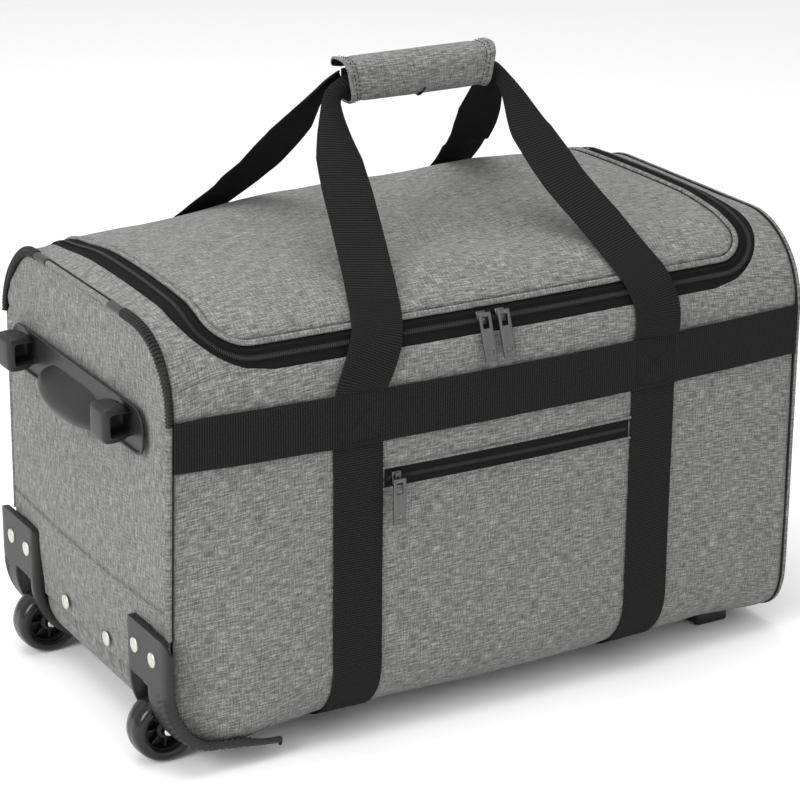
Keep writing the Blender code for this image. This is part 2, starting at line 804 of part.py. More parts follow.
def rivets():
    for end, side in (("front", -1), ("back", 1)):
        for place, y in zip(("inner", "outer"), RIVET_Y):
            start = (HOUSING_FACE - GAP, side * y, RIVET_Z)
            name = "housing_rivet_" + end + "_" + place
            bar(name, RIVET_RADIUS, start, (HOUSING_FACE - 0.0018, side * y, RIVET_Z), nickel(), 16)
        start = (-0.2779, side * BASE_RIVET_Y, BASE_RIVET_Z)
        bar("base_rivet_" + end, RIVET_RADIUS, start, (-0.2795, start[1], BASE_RIVET_Z), nickel(), 16)


def racetrack(half_length, low, high, count=6):
    """A slot outline as (y, z) points."""
    radius = (high - low) / 2
    points = []
    for side in (1, -1):
        for angle in steps(-math.pi / 2, math.pi / 2, count):
            y = side * (half_length - radius + radius * math.cos(angle))
            points.append((y, (low + high) / 2 + side * radius * math.sin(angle)))
    return points


def upright_stand():
    """One moulding: a plate, two hollow feet to stand the bag on its end, and a scoop to lift it by."""
    face = STAND_FACE - STAND_PLATE
    plate = racetrack(STAND_HALF, STAND_BOTTOM, STAND_TOP)
    made = prism("upright_stand", plate, face, STAND_FACE, plastic(), "X")
    for side in (-1, 1):
        low = (-END_REACH, side * FOOT_IN, 0.2415)
        foot = box("foot", low, (STAND_FACE - 0.002, side * FOOT_OUT, 0.2745), plastic())
        combine(made, foot, "UNION")
        near, far = sorted((side * FOOT_IN, side * FOOT_OUT))
        recess_low = (-END_REACH + 0.004, near - 0.01, 0.2455)
        recess = box("foot_recess", recess_low, (face, far - 0.004, 0.2705), plastic())
        combine(made, recess, "DIFFERENCE")
    scoop_points = ((STAND_FACE - 0.002, 0.274), (-0.283, 0.272), (-0.2935, 0.252), (-0.2955, 0.226))
    back_points = ((-0.2925, 0.226), (-0.2900, 0.250), (-0.2815, 0.262), (STAND_FACE - 0.002, 0.264))
    scoop = prism("scoop", scoop_points + back_points, -0.046, 0.046, plastic())
    combine(made, scoop, "UNION")


def glide(name, side):
    low = (0.215, side * 0.115, 0.0)
    box(name, low, (0.245, side * 0.090, BASE_HEIGHT - GAP), plastic(), bevel=0.002)


# Telescopic trolley


def tube(name, stage, side, pivot_x):
    width, height = TUBE_SIZES[stage]
    y = side * TUBE_Y
    left, right = TUBE_LEFT[stage], TUBE_RIGHT[stage]
    low = (left, y - width / 2, TUBE_Z - height / 2)
    pivot = (pivot_x, y, TUBE_Z)
    made = box(name, low, (right, y + width / 2, TUBE_Z + height / 2), aluminium(), pivot)
    if stage == "inner":
        return
    cut_low = (left - 0.01, y - width / 2 + TUBE_WALL, TUBE_Z - height / 2 + TUBE_WALL)
    cut_high = (right + 0.01, y + width / 2 - TUBE_WALL, TUBE_Z + height / 2 - TUBE_WALL)
    bore = box(name + "_bore", cut_low, cut_high, aluminium())
    combine(made, bore, "DIFFERENCE")


def trolley():
    for end, side in (("front", -1), ("back", 1)):
        for stage in ("outer", "middle", "inner"):
            tube("trolley_" + stage + "_tube_" + end, stage, side, TUBE_LEFT[stage])
    bracket_high = (-0.2055, TUBE_Y + 0.018, 0.046)
    box("tube_bracket", (-0.2155, -TUBE_Y - 0.018, 0.0175), bracket_high, plastic())
    bezel_low = (0.2545, -BEZEL_HALF, BEZEL_LOW)
    bezel = box("trolley_bezel", bezel_low, (BEZEL_FACE, BEZEL_HALF, BEZEL_HIGH), plastic())
    recess_low = (0.2605, -GRIP_HALF - 0.003, 0.0220)
    recess = box("bezel_recess", recess_low, (0.29, GRIP_HALF + 0.003, 0.0460), plastic())
    combine(bezel, recess, "DIFFERENCE")
    for side in (-1, 1):
        width, height = TUBE_SIZES["middle"]
        y = side * TUBE_Y
        slot_low = (0.24, y - width / 2 - GAP, TUBE_Z - height / 2 - GAP)
        slot = box("bezel_slot", slot_low, (0.27, y + width / 2 + GAP, TUBE_Z + height / 2 + GAP), plastic())
        combine(bezel, slot, "DIFFERENCE")
    pivot = (0.28, 0.0, TUBE_Z)
    grip_low = (0.2710, -GRIP_HALF, 0.0250)
    grip = box("trolley_grip", grip_low, (GRIP_FACE, GRIP_HALF, 0.0430), plastic(), pivot)
    well = box("button_well", (0.2755, -0.0135, 0.0295), (0.30, 0.0135, 0.0385), plastic())
    combine(grip, well, "DIFFERENCE")
    button_low = (0.2790, -0.0130, 0.0300)
    box("release_button", button_low, (GRIP_FACE + 0.0015, 0.0130, 0.0380), plastic(), (0.279, 0, TUBE_Z))


def handle_end():
    """The trolley-end panel, with an opening for the bezel."""
    made = end_panel("handle_end_panel", 1)
    low = (0.2, -BEZEL_HALF - GAP, BEZEL_LOW - GAP)
    hole = box("bezel_hole", low, (0.3, BEZEL_HALF + GAP, BEZEL_HIGH + GAP), fabric())
    combine(made, hole, "DIFFERENCE")


def main():
    for old in list(bpy.data.objects):
        bpy.data.objects.remove(old, do_unlink=True)
    side_panel("front_panel", 1)
    side_panel("back_panel", -1)
    base_panel()
    top_border("top_border_wheel_end", -1)
    top_border("top_border_handle_end", 1)
    lid_panel()
    split_end("wheel_end_panel_upper", True)
    split_end("wheel_end_panel_lower", False)
    handle_end()
    end_piping()
    band("band_front", 1)
    band("band_back", -1)
    strap_loop("strap_wheel_end", -1)
    strap_loop("strap_handle_end", 1)
    carry_handle("front_handle", -1, (-STRAP_CENTRE, -0.074, 1.0), (STRAP_CENTRE, 0.101, 1.3))
    carry_handle("back_handle", 1, (-STRAP_CENTRE, -0.072, 1.0), (STRAP_CENTRE, 0.102, 1.6))
    grip_wrap()
    end_strap()
    zip_tape("zip_tape_body", GAP, TAPE_HALF)
    zip_tape("zip_tape_lid", -TAPE_HALF, -GAP, (0.0, HINGE_Y, HINGE_Z))
    slider_and_tab("left")
    slider_and_tab("right")
    pocket_zip()
    base_board()
    for end, side in (("front", -1), ("back", 1)):
        wheel_housing("wheel_housing_" + end, side)
        wheel(end, side)
        glide("glide_" + end, side)
    rivets()
    upright_stand()
    trolley()


main()
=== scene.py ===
"""Looks of the rolling duffel bag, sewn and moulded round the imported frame.

Metres, +Z up. X runs along the bag (wheels at -X, trolley handle at +X), and -Y is the front with the pocket.
"""

import math

import bmesh
import bpy
from mathutils import Matrix, Vector, noise


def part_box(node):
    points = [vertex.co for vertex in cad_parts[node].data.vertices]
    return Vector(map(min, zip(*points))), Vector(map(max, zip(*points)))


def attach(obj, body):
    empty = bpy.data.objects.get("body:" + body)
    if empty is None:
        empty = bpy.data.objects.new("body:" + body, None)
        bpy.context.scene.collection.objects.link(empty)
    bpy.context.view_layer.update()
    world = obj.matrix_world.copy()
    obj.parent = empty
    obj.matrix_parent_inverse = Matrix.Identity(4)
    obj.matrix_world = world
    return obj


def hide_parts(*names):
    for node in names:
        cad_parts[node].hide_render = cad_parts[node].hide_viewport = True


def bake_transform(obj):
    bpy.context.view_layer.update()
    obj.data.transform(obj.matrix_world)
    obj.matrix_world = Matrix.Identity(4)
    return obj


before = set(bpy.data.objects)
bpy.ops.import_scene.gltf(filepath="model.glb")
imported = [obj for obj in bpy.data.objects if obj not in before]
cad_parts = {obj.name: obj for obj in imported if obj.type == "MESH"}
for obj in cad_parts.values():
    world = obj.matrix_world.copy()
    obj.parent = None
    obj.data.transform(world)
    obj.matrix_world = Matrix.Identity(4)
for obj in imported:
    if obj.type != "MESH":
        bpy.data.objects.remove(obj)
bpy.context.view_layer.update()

# The bag's skin, as in the frame
HALF_LENGTH = 0.270
SEAM_HALF_DEPTH = 0.152
FACE_BULGE = 0.012
END_HEIGHT = 0.342
LID_CROWN = 0.007
BASE_HEIGHT = 0.012
TOP_RADIUS = 0.065
BASE_RADIUS = 0.055
WHEEL_END_RADIUS = 0.045
WHEEL_END_BASE_RADIUS = 0.008
BASE_BLEND = 0.125
EDGE = 0.2685
SEAM_Z = 0.127

# Zip
ZIP_X = 0.240
ZIP_FRONT = 0.156
ZIP_BOW = 0.0125
ZIP_BACK = -0.150
ZIP_CORNER = 0.040
TAPE_HALF = 0.0097
FOLD = 0.0042
TOOTH_PITCH = 0.00165

# Webbing
WEBBING = 0.040
WEBBING_THICK = 0.0014
BAND_BOTTOM = 0.240
BAND_TOP = 0.280
STRAP_CENTRE = 0.128

# Carry grip
GRIP_LEFT = -0.052
GRIP_RIGHT = 0.073
GRIP_Z = 0.4635
GRIP_HALF_HEIGHT = 0.0165
GRIP_HALF_DEPTH = 0.0135

# Pocket
POCKET_Z = 0.210
POCKET_HALF = 0.104

# Zip pulls
TAB_LENGTH = 0.036
TAB_THICK = 0.0018

# Wheels
WHEEL_X = -0.263
WHEEL_Y = 0.108
WHEEL_RADIUS = 0.026

CENTRE = Vector((0.0, 0.0, 0.18))


def mix(low, high, part):
    """The value a part of the way from low to high."""
    return low + (high - low) * part


def smoothstep(value):
    value = min(1.0, max(0.0, value))
    return value * value * (3 - 2 * value)


def steps(low, high, count):
    return [mix(low, high, i / count) for i in range(count + 1)]


def through(table, value):
    """Reads a smooth value from a short list of (place, value) pairs in rising order of place."""
    if value <= table[0][0]:
        return table[0][1]
    for (a, low), (b, high) in zip(table, table[1:]):
        if value <= b:
            return mix(low, high, (value - a) / (b - a))
    return table[-1][1]


# Skin of the bag: a point on it is given by x and by its run, the distance over it from the top's middle


def half_depth(x):
    """Half the bag's depth, fullest midway along."""
    return SEAM_HALF_DEPTH + FACE_BULGE * (1 - (x / HALF_LENGTH) ** 2)


def top_height(x):
    """Height of the middle of the top."""
    return END_HEIGHT + LID_CROWN * (1 - abs(x / HALF_LENGTH) ** 2.5)


def base_height(x):
    """Height of the base, which turns up round the wheel end."""
    run = min(max(0.0, WHEEL_END_RADIUS - (x + HALF_LENGTH)), WHEEL_END_RADIUS)
    return BASE_HEIGHT + WHEEL_END_RADIUS - math.sqrt(WHEEL_END_RADIUS**2 - run**2)


def base_radius(x):
    """Radius between wall and base, tight at the wheel end."""
    return mix(WHEEL_END_BASE_RADIUS, BASE_RADIUS, smoothstep((x + HALF_LENGTH) / BASE_BLEND))


def run_to_height(x, z):
    """Distance over the skin from the middle of the top to a height on the wall."""
    return half_depth(x) - TOP_RADIUS + TOP_RADIUS * math.pi / 2 + top_height(x) - TOP_RADIUS - z


def run_to_base(x):
    """Distance over the skin from the middle of the top down to where the flat base starts."""
    low = base_radius(x)
    return run_to_height(x, base_height(x) + low) + low * math.pi / 2


def half_girth(x):
    return run_to_base(x) + half_depth(x) - base_radius(x)


def skin(x, run, out=0.0):
    """Point on the skin, run metres over it from the middle of the top, towards the front if positive."""
    depth, top, base, low = half_depth(x), top_height(x), base_height(x), base_radius(x)
    flat = depth - TOP_RADIUS
    arc = TOP_RADIUS * math.pi / 2
    side = top - TOP_RADIUS - base - low
    left = abs(run)
    if left < flat:
        y, z, normal = left, top, (0.0, 1.0)
    elif left < flat + arc:
        angle = (left - flat) / TOP_RADIUS
        normal = (math.sin(angle), math.cos(angle))
        y, z = flat + TOP_RADIUS * normal[0], top - TOP_RADIUS + TOP_RADIUS * normal[1]
    elif left < flat + arc + side:
        y, z, normal = depth, top - TOP_RADIUS - (left - flat - arc), (1.0, 0.0)
    elif left < flat + arc + side + low * math.pi / 2:
        angle = (left - flat - arc - side) / low
        normal = (math.cos(angle), -math.sin(angle))
        y, z = depth - low + low * normal[0], base + low + low * normal[1]
    else:
        y, z, normal = depth - low - (left - flat - arc - side - low * math.pi / 2), base, (0.0, -1.0)
    facing = -1 if run > 0 else 1
    return Vector((x, facing * (y + normal[0] * out), z + normal[1] * out))


def skin_normal(x, run):
    return (skin(x, run, 1.0) - skin(x, run)).normalized()


def bow(x, run):
    """The run of a point near the zip, which bows down midway along the front."""
    sag = ZIP_BOW * max(0.0, 1 - (x / ZIP_X) ** 2)
    return run + sag * smoothstep(run / ZIP_FRONT)


def zip_half_width(run, offset):
    """Half the length inside the zip line at a run, with the line moved out by offset."""
    corner = max(0.001, ZIP_CORNER + offset)
    rise = run - (ZIP_FRONT - ZIP_CORNER)
    if rise <= 0:
        return ZIP_X + offset
    return ZIP_X - ZIP_CORNER + math.sqrt(max(0.0, corner**2 - rise**2))


def border_half_width(run):
    """Half the length of the opening between the borders, its front corners cut a little fuller."""
    corner = ZIP_CORNER + TAPE_HALF + 0.011
    rise = run - (ZIP_FRONT + TAPE_HALF - corner)
    if rise <= 0:
        return ZIP_X + TAPE_HALF
    return ZIP_X + TAPE_HALF - corner + math.sqrt(max(0.0, corner**2 - rise**2))


SIDE_RUN = ZIP_FRONT - ZIP_CORNER - ZIP_BACK
CORNER_RUN = ZIP_CORNER * math.pi / 2
ZIP_LENGTH = 2 * SIDE_RUN + 2 * CORNER_RUN + 2 * (ZIP_X - ZIP_CORNER)


def zip_line(along, offset):
    """(x, run) on the zip line, along metres from its back left end, offset outwards from its teeth."""
    mirrored = along > ZIP_LENGTH / 2
    if mirrored:
        along = ZIP_LENGTH - along
    if along < SIDE_RUN:
        x, run = -ZIP_X - offset, ZIP_BACK + along
    elif along < SIDE_RUN + CORNER_RUN:
        angle = (along - SIDE_RUN) / ZIP_CORNER
        x = -ZIP_X + ZIP_CORNER - (ZIP_CORNER + offset) * math.cos(angle)
        run = ZIP_FRONT - ZIP_CORNER + (ZIP_CORNER + offset) * math.sin(angle)
    else:
        x, run = -ZIP_X + ZIP_CORNER + along - SIDE_RUN - CORNER_RUN, ZIP_FRONT + offset
    return (-x if mirrored else x), bow(x, run)


def zip_point(along, offset, out=0.0):
    x, run = zip_line(along, offset)
    return skin(x, run, out)


def ripple(a, b, size, seed=0.0):
    """Smooth wave from about -1 to 1 over two distances, size metres from crest to crest."""
    return noise.noise(Vector((a / size, b / size, seed)))


def strap_press(x, run):
    """1 under the webbing and fading to 0 beside it."""
    reach = abs(run)
    band = max(0.0, abs(reach - run_to_height(x, (BAND_TOP + BAND_BOTTOM) / 2)) - WEBBING / 2)
    strap = max(0.0, abs(abs(x) - STRAP_CENTRE) - WEBBING / 2)
    if reach < run_to_height(x, BAND_TOP):
        strap = 1.0
    return 1 - smoothstep(min(band, strap) / 0.014)


def drape(x, run):
    """How far the body cloth stands off the skin: slow waves, held under the webbing and at the seams."""
    wave = 0.0017 * ripple(x, run, 0.085) + 0.0007 * ripple(x * 1.4, run, 0.034, 3.0)
    drawn = 0.0006 * ripple(x, run * 0.25, 0.012, 7.0) * (1 - smoothstep((HALF_LENGTH - abs(x)) / 0.045))
    at_end = smoothstep((HALF_LENGTH - abs(x)) / 0.02)
    press = strap_press(x, run)
    return min((wave * at_end + drawn) * (1 - press) - 0.0005 * press, 0.0016)


def lid_drape(x, run):
    """Soft lengthwise folds of the lid between the handles, faint elsewhere, still at its edge."""
    inside = smoothstep((zip_half_width(run, -0.014) - abs(x)) / 0.04)
    inside *= smoothstep((ZIP_FRONT - 0.012 - run) / 0.04) * smoothstep((run - ZIP_BACK) / 0.05)
    folds = 0.0030 * ripple(x * 0.8, run * 1.5, 0.070, 11.0) + 0.0012 * ripple(x, run * 1.2, 0.030, 5.0)
    across = -0.0022 * math.exp(-(((x - 0.045 - 0.25 * run) / 0.016) ** 2)) * smoothstep((run + 0.06) / 0.12)
    return (folds + across) * inside


def settled(point):
    """The cloth as it hangs: crowned on top, and at the ends drawn in or filled out at the corners."""
    x, y, z = point
    facing = -1 if y < 0 else 1
    near = smoothstep((-x - 0.200) / 0.070)
    far = smoothstep((x - 0.200) / 0.070)
    end = smoothstep((-x - 0.240) / 0.028)
    low = min(1.0, max(0.0, (0.280 - z) / 0.164))
    drawn = (0.062 * low if facing < 0 else mix(0.048, 0.026, low)) * near
    high_y, high_z = abs(y) - 0.087, z - 0.277
    push = 0.0
    if high_y > 0.0 and high_z > 0.0:
        push = (0.0045 if facing < 0 else -0.0045) * math.sin(2 * math.atan2(high_y, high_z)) ** 2 * end
    size = math.hypot(high_y, high_z)
    low_y, low_z = abs(y) - 0.097, 0.067 - z
    fill = 0.0
    if low_y > 0.0 and low_z > 0.0:
        fill = 0.0065 * math.sin(2 * math.atan2(low_y, low_z)) ** 2 * far
    low_size = max(0.001, math.hypot(low_y, low_z))
    across = max(0.0, 1 - (y / 0.105) ** 2)
    top = smoothstep((z - 0.305) / 0.030) * (1 - smoothstep((z - 0.362) / 0.010))
    top *= smoothstep((0.270 - abs(x)) / 0.032)
    crown = 0.0050 * across * (1 - 0.6 * smoothstep(x / 0.15))
    crown += 0.0062 * smoothstep((x - 0.02) / 0.16) * smoothstep((y + 0.125) / 0.080)
    crown -= 0.0045 * smoothstep((y - 0.02) / 0.07) * smoothstep((-0.05 - x) / 0.10)
    sink = 0.0028 * end * smoothstep((z - 0.24) / 0.08)
    moved_y = abs(y) * (1 - drawn) + push * high_y / size + fill * low_y / low_size
    moved_z = z - sink + push * high_z / size - fill * low_z / low_size + top * crown
    return Vector((x, facing * moved_y, moved_z))


# Shader groups and materials


def place_node(tree, kind, inputs=None, **settings):
    """Adds a node, sets its properties, and fills its inputs with numbers or links."""
    node = tree.nodes.new(kind)
    for name, value in settings.items():
        setattr(node, name, value)
    for key, value in (inputs or {}).items():
        if isinstance(value, bpy.types.NodeSocket):
            tree.links.new(value, node.inputs[key])
        else:
            node.inputs[key].default_value = value
    return node


def maths(tree, operation, a, b=0.0, clamp=False):
    node = place_node(tree, "ShaderNodeMath", {0: a, 1: b}, operation=operation, use_clamp=clamp)
    return node.outputs[0]


def stretched(tree, vector, scale):
    mapping = place_node(tree, "ShaderNodeMapping", {"Vector": vector, "Scale": scale})
    return mapping.outputs["Vector"]


def noise_value(tree, vector, scale, detail=2.0, roughness=0.55, dimensions="2D"):
    where = stretched(tree, vector, scale)
    inputs = {"Vector": where, "Scale": 1.0, "Detail": detail, "Roughness": roughness}
    return place_node(tree, "ShaderNodeTexNoise", inputs, noise_dimensions=dimensions).outputs[0]


def new_group(name, inputs, outputs):
    tree = bpy.data.node_groups.new(name, "ShaderNodeTree")
    for label, kind, value in inputs:
        made = tree.interface.new_socket(name=label, in_out="INPUT", socket_type=kind)
        if value is not None:
            made.default_value = value
    for label in outputs:
        tree.interface.new_socket(name=label, in_out="OUTPUT", socket_type="NodeSocketFloat")
    return tree, tree.nodes.new("NodeGroupInput"), tree.nodes.new("NodeGroupOutput")


def melange_group():
    """Heather yarn: long pale and dark slubs both ways of the weave, over fine flecks."""
    inputs = [("Vector", "NodeSocketVector", None), ("Contrast", "NodeSocketFloat", 1.0)]
    tree, start, end = new_group("melange_yarn", inputs, ("Shade", "Height"))
    vector = start.outputs["Vector"]
    warp = noise_value(tree, vector, (105.0, 900.0, 1.0), 0.5)
    weft = noise_value(tree, vector, (900.0, 140.0, 1.0), 0.5)
    fleck = noise_value(tree, vector, (1000.0, 1000.0, 1.0), 0.0)
    cloud = noise_value(tree, vector, (22.0, 60.0, 1.0), 2.0)
    both = maths(tree, "ADD", maths(tree, "MULTIPLY", warp, 0.46), maths(tree, "MULTIPLY", weft, 0.30))
    yarn = maths(tree, "ADD", both, maths(tree, "MULTIPLY", fleck, 0.24))
    yarn = maths(tree, "ADD", yarn, maths(tree, "MULTIPLY", maths(tree, "SUBTRACT", cloud, 0.5), 0.06))
    spread = maths(tree, "MULTIPLY", maths(tree, "SUBTRACT", yarn, 0.5), start.outputs["Contrast"])
    shade = maths(tree, "ADD", maths(tree, "MULTIPLY", spread, 2.1), 0.5, True)
    tree.links.new(shade, end.inputs["Shade"])
    tree.links.new(both, end.inputs["Height"])
    return tree


def weave_group():
    """Webbing: raised columns across the strip, each a row of small beads."""
    inputs = [("Vector", "NodeSocketVector", None)]
    inputs += [("Column", "NodeSocketFloat", 0.0019), ("Bead", "NodeSocketFloat", 0.0011)]
    tree, start, end = new_group("webbing_weave", inputs, ("Shade", "Height"))
    axes = place_node(tree, "ShaderNodeSeparateXYZ", {0: start.outputs["Vector"]})
    along = maths(tree, "DIVIDE", axes.outputs["Y"], start.outputs["Column"])
    across = maths(tree, "DIVIDE", axes.outputs["X"], start.outputs["Bead"])
    column = maths(tree, "ABSOLUTE", maths(tree, "SINE", maths(tree, "MULTIPLY", along, math.pi)))
    step = maths(tree, "MULTIPLY", maths(tree, "FLOOR", along), 0.5)
    bead = maths(tree, "SINE", maths(tree, "MULTIPLY", maths(tree, "ADD", across, step), math.tau))
    beads = maths(tree, "ADD", maths(tree, "MULTIPLY", bead, 0.35), 0.65)
    height = maths(tree, "MULTIPLY", column, beads)
    fray = noise_value(tree, start.outputs["Vector"], (700.0, 700.0, 1.0), 2.0)
    # Painted highlight and groove shade: the colour follows the weave's height, paler on the raised columns
    # and beads and darker in the grooves between them, with random tone from the fray noise.
    shade = maths(tree, "MULTIPLY", height, maths(tree, "ADD", fray, 0.5), True)
    tree.links.new(shade, end.inputs["Shade"])
    tree.links.new(height, end.inputs["Height"])
    return tree


def grain_group():
    """Moulded plastic: fine spark texture and faint flow marks, from object coordinates."""
    inputs = [("Scale", "NodeSocketFloat", 1.0)]
    tree, start, end = new_group("moulded_grain", inputs, ("Grain", "Flow"))
    where = place_node(tree, "ShaderNodeTexCoord").outputs["Object"]
    spread = place_node(tree, "ShaderNodeVectorMath", {0: where}, operation="SCALE")
    tree.links.new(start.outputs["Scale"], spread.inputs["Scale"])
    grain = noise_value(tree, spread.outputs[0], (1500.0, 1500.0, 1500.0), 2.0, 0.6, "3D")
    flow = noise_value(tree, spread.outputs[0], (26.0, 26.0, 60.0), 2.0, 0.5, "3D")
    tree.links.new(grain, end.inputs["Grain"])
    tree.links.new(flow, end.inputs["Flow"])
    return tree


GROUPS = {"melange": melange_group(), "weave": weave_group(), "grain": grain_group()}


def new_material(name, roughness, metallic=0.0, specular=0.5):
    made = bpy.data.materials.new(name)
    made.use_nodes = True
    shader = made.node_tree.nodes["Principled BSDF"]
    shader.inputs["Roughness"].default_value = roughness
    shader.inputs["Metallic"].default_value = metallic
    shader.inputs["Specular IOR Level"].default_value = specular
    return made, made.node_tree, shader


def use_group(tree, key, inputs):
    return place_node(tree, "ShaderNodeGroup", inputs, node_tree=GROUPS[key])


def ramp(tree, factor, *stops):
    node = place_node(tree, "ShaderNodeValToRGB", {"Fac": factor})
    while len(node.color_ramp.elements) < len(stops):
        node.color_ramp.elements.new(0.5)
    for element, (position, level) in zip(node.color_ramp.elements, stops):
        element.position = position
        element.color = (level, level, level * 0.975, 1.0) if not isinstance(level, tuple) else level
    return node.outputs["Color"]


def bump(tree, shader, height, distance, strength=0.6):
    node = place_node(tree, "ShaderNodeBump", {"Height": height, "Distance": distance, "Strength": strength})
    tree.links.new(node.outputs["Normal"], shader.inputs["Normal"])


def vary_roughness(tree, shader, value, low, high):
    spread = place_node(tree, "ShaderNodeMapRange", {0: value, 3: low, 4: high})
    tree.links.new(spread.outputs[0], shader.inputs["Roughness"])


def heather_cloth(name, dark, middle, pale):
    made, tree, shader = new_material(name, 0.92, specular=0.2)
    shader.inputs["Sheen Weight"].default_value = 0.05
    shader.inputs["Sheen Roughness"].default_value = 0.5
    where = place_node(tree, "ShaderNodeTexCoord").outputs["UV"]
    yarn = use_group(tree, "melange", {"Vector": where, "Contrast": 1.0})
    colour = ramp(tree, yarn.outputs["Shade"], (0.0, dark), (0.5, middle), (1.0, pale))
    tree.links.new(colour, shader.inputs["Base Color"])
    vary_roughness(tree, shader, yarn.outputs["Shade"], 0.86, 0.97)
    bump(tree, shader, yarn.outputs["Height"], 0.0006)
    return made


def strap_webbing(name, low, high, column=0.0019, bead=0.0011):
    made, tree, shader = new_material(name, 0.8, specular=0.10)
    where = place_node(tree, "ShaderNodeTexCoord").outputs["UV"]
    weave = use_group(tree, "weave", {"Vector": where, "Column": column, "Bead": bead})
    # Painted highlight and groove shade: the ramp runs from low in the weave's grooves to high on its raised
    # beads.
    colour = ramp(tree, weave.outputs["Shade"], (0.0, low), (1.0, high))
    tree.links.new(colour, shader.inputs["Base Color"])
    vary_roughness(tree, shader, weave.outputs["Shade"], 0.72, 0.9)
    bump(tree, shader, weave.outputs["Height"], 0.0006, 1.0)
    return made


def moulded_plastic(name, level, roughness, grain=0.00012, specular=0.5):
    made, tree, shader = new_material(name, roughness, specular=specular)
    parts = use_group(tree, "grain", {"Scale": 1.0})
    colour = ramp(tree, parts.outputs["Flow"], (0.3, level * 0.88), (0.7, level * 1.12))
    tree.links.new(colour, shader.inputs["Base Color"])
    vary_roughness(tree, shader, parts.outputs["Grain"], roughness - 0.06, roughness + 0.08)
    bump(tree, shader, parts.outputs["Grain"], grain, 0.35)
    return made


def worked_metal(name, colour, roughness, brush=(900.0, 900.0, 60.0)):
    made, tree, shader = new_material(name, roughness, metallic=1.0)
    where = place_node(tree, "ShaderNodeTexCoord").outputs["Object"]
    lines = noise_value(tree, where, brush, 3.0, 0.6, "3D")
    dark = tuple(level * 0.86 for level in colour) + (1.0,)
    pale = tuple(min(1.0, level * 1.1) for level in colour) + (1.0,)
    tree.links.new(ramp(tree, lines, (0.35, dark), (0.65, pale)), shader.inputs["Base Color"])
    vary_roughness(tree, shader, lines, roughness - 0.05, roughness + 0.1)
    bump(tree, shader, lines, 0.00004, 0.25)
    return made


FABRIC = heather_cloth("heather_grey_cloth", 0.062, 0.150, 0.31)
CORD_FABRIC = heather_cloth("heather_grey_piping", 0.060, 0.140, 0.27)
LINING = strap_webbing("black_lining", 0.008, 0.016, 0.0008, 0.0008)
WEB = strap_webbing("black_webbing", 0.001, 0.030)
TAPE = strap_webbing("black_zip_tape", 0.006, 0.015, 0.0009, 0.0009)
COIL = moulded_plastic("black_nylon_coil", 0.020, 0.38, specular=0.35)
# Black thread for stitches, also used for the tubes of painted seam shadow.
BLACK_THREAD_AND_SEAM_SHADE = moulded_plastic("black_thread_and_seam_shade", 0.012, 0.7, specular=0.1)
THREAD_GREY = moulded_plastic("grey_thread", 0.13, 0.8, specular=0.2)
GUARD = moulded_plastic("guard_sleeve", 0.040, 0.42, specular=0.3)
GUARD_DARK = moulded_plastic("guard_coil", 0.010, 0.38, specular=0.25)
PLASTIC = moulded_plastic("dark_grey_plastic", 0.017, 0.42, specular=0.28)
RIM_PLASTIC = moulded_plastic("black_rim_plastic", 0.018, 0.42, specular=0.3)
TYRE = moulded_plastic("black_tyre", 0.006, 0.20, 0.00002, 0.45)
# The hub's black, also laid in the housing rib grooves as painted shade.
HUB_AND_GROOVE_SHADE = moulded_plastic("black_hub_and_groove_shade", 0.008, 0.34, 0.00003, 0.25)
BOARD = moulded_plastic("stiffener_board_black", 0.04, 0.85, specular=0.2)
GUNMETAL = worked_metal("gunmetal_plate", (0.115, 0.115, 0.115), 0.30)
NICKEL = worked_metal("nickel_plate", (0.60, 0.59, 0.53), 0.40)
STEEL = worked_metal("axle_steel", (0.75, 0.75, 0.74), 0.18)
ALUMINIUM = worked_metal("anodised_aluminium", (0.60, 0.60, 0.61), 0.34, (20.0, 900.0, 900.0))

# Making pieces

SOFT = ("grey_fabric", "black_webbing", "zip_tape")

def make_piece(name, bm, body, slot_name, *materials, replaces=(), smooth=35):
    """Turns bm into a named piece that rides on a body of the frame."""
    if slot_name in SOFT:
        for vert in bm.verts:
            vert.co = settled(vert.co)
    mesh = bpy.data.meshes.new(name)
    bm.to_mesh(mesh)
    bm.free()
    for used in materials:
        mesh.materials.append(used)
    mesh.shade_smooth()
    mesh.set_sharp_from_angle(angle=math.radians(smooth))
    made = bpy.data.objects.new(name, mesh)
    bpy.context.scene.collection.objects.link(made)
    if body:
        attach(made, body)
    if replaces:
        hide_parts(*replaces)
    return made


def thicken(piece, thickness, offset=-1.0, lining=0):
    step = piece.modifiers.new("thickness", "SOLIDIFY")
    step.thickness = thickness
    step.offset = offset
    step.material_offset = lining
    return piece


def round_edges(piece, width, segments=2, angle=40):
    step = piece.modifiers.new("rounded_edges", "BEVEL")
    step.width = width
    step.segments = segments
    step.limit_method = "ANGLE"
    step.angle_limit = math.radians(angle)
    step.use_clamp_overlap = True
    step.harden_normals = False
    return piece


def soften(made, levels):
    step = made.modifiers.new("soft", "SUBSURF")
    step.levels = levels
    step.render_levels = levels


def cloth_grid(place, columns, rows, centre=CENTRE, bm=None):
    """A sheet laid out by place, which turns (u, v), 0 to 1, into a point and its spot on the flat cloth."""
    bm = bm or bmesh.new()
    before = set(bm.verts)
    bmesh.ops.create_grid(bm, x_segments=columns, y_segments=rows, size=0.5)
    verts = [vert for vert in bm.verts if vert not in before]
    layer = bm.loops.layers.uv.verify()
    flat = {}
    for vert in verts:
        vert.co, flat[vert] = place(vert.co.x + 0.5, vert.co.y + 0.5)
    faces = {face for vert in verts for face in vert.link_faces}
    outwards = 0.0
    for face in faces:
        face.normal_update()
        outwards += face.calc_area() * face.normal.dot(face.calc_center_median() - centre)
        for loop in face.loops:
            loop[layer].uv = flat[loop.vert]
    if outwards < 0:
        bmesh.ops.reverse_faces(bm, faces=list(faces))
    return bm


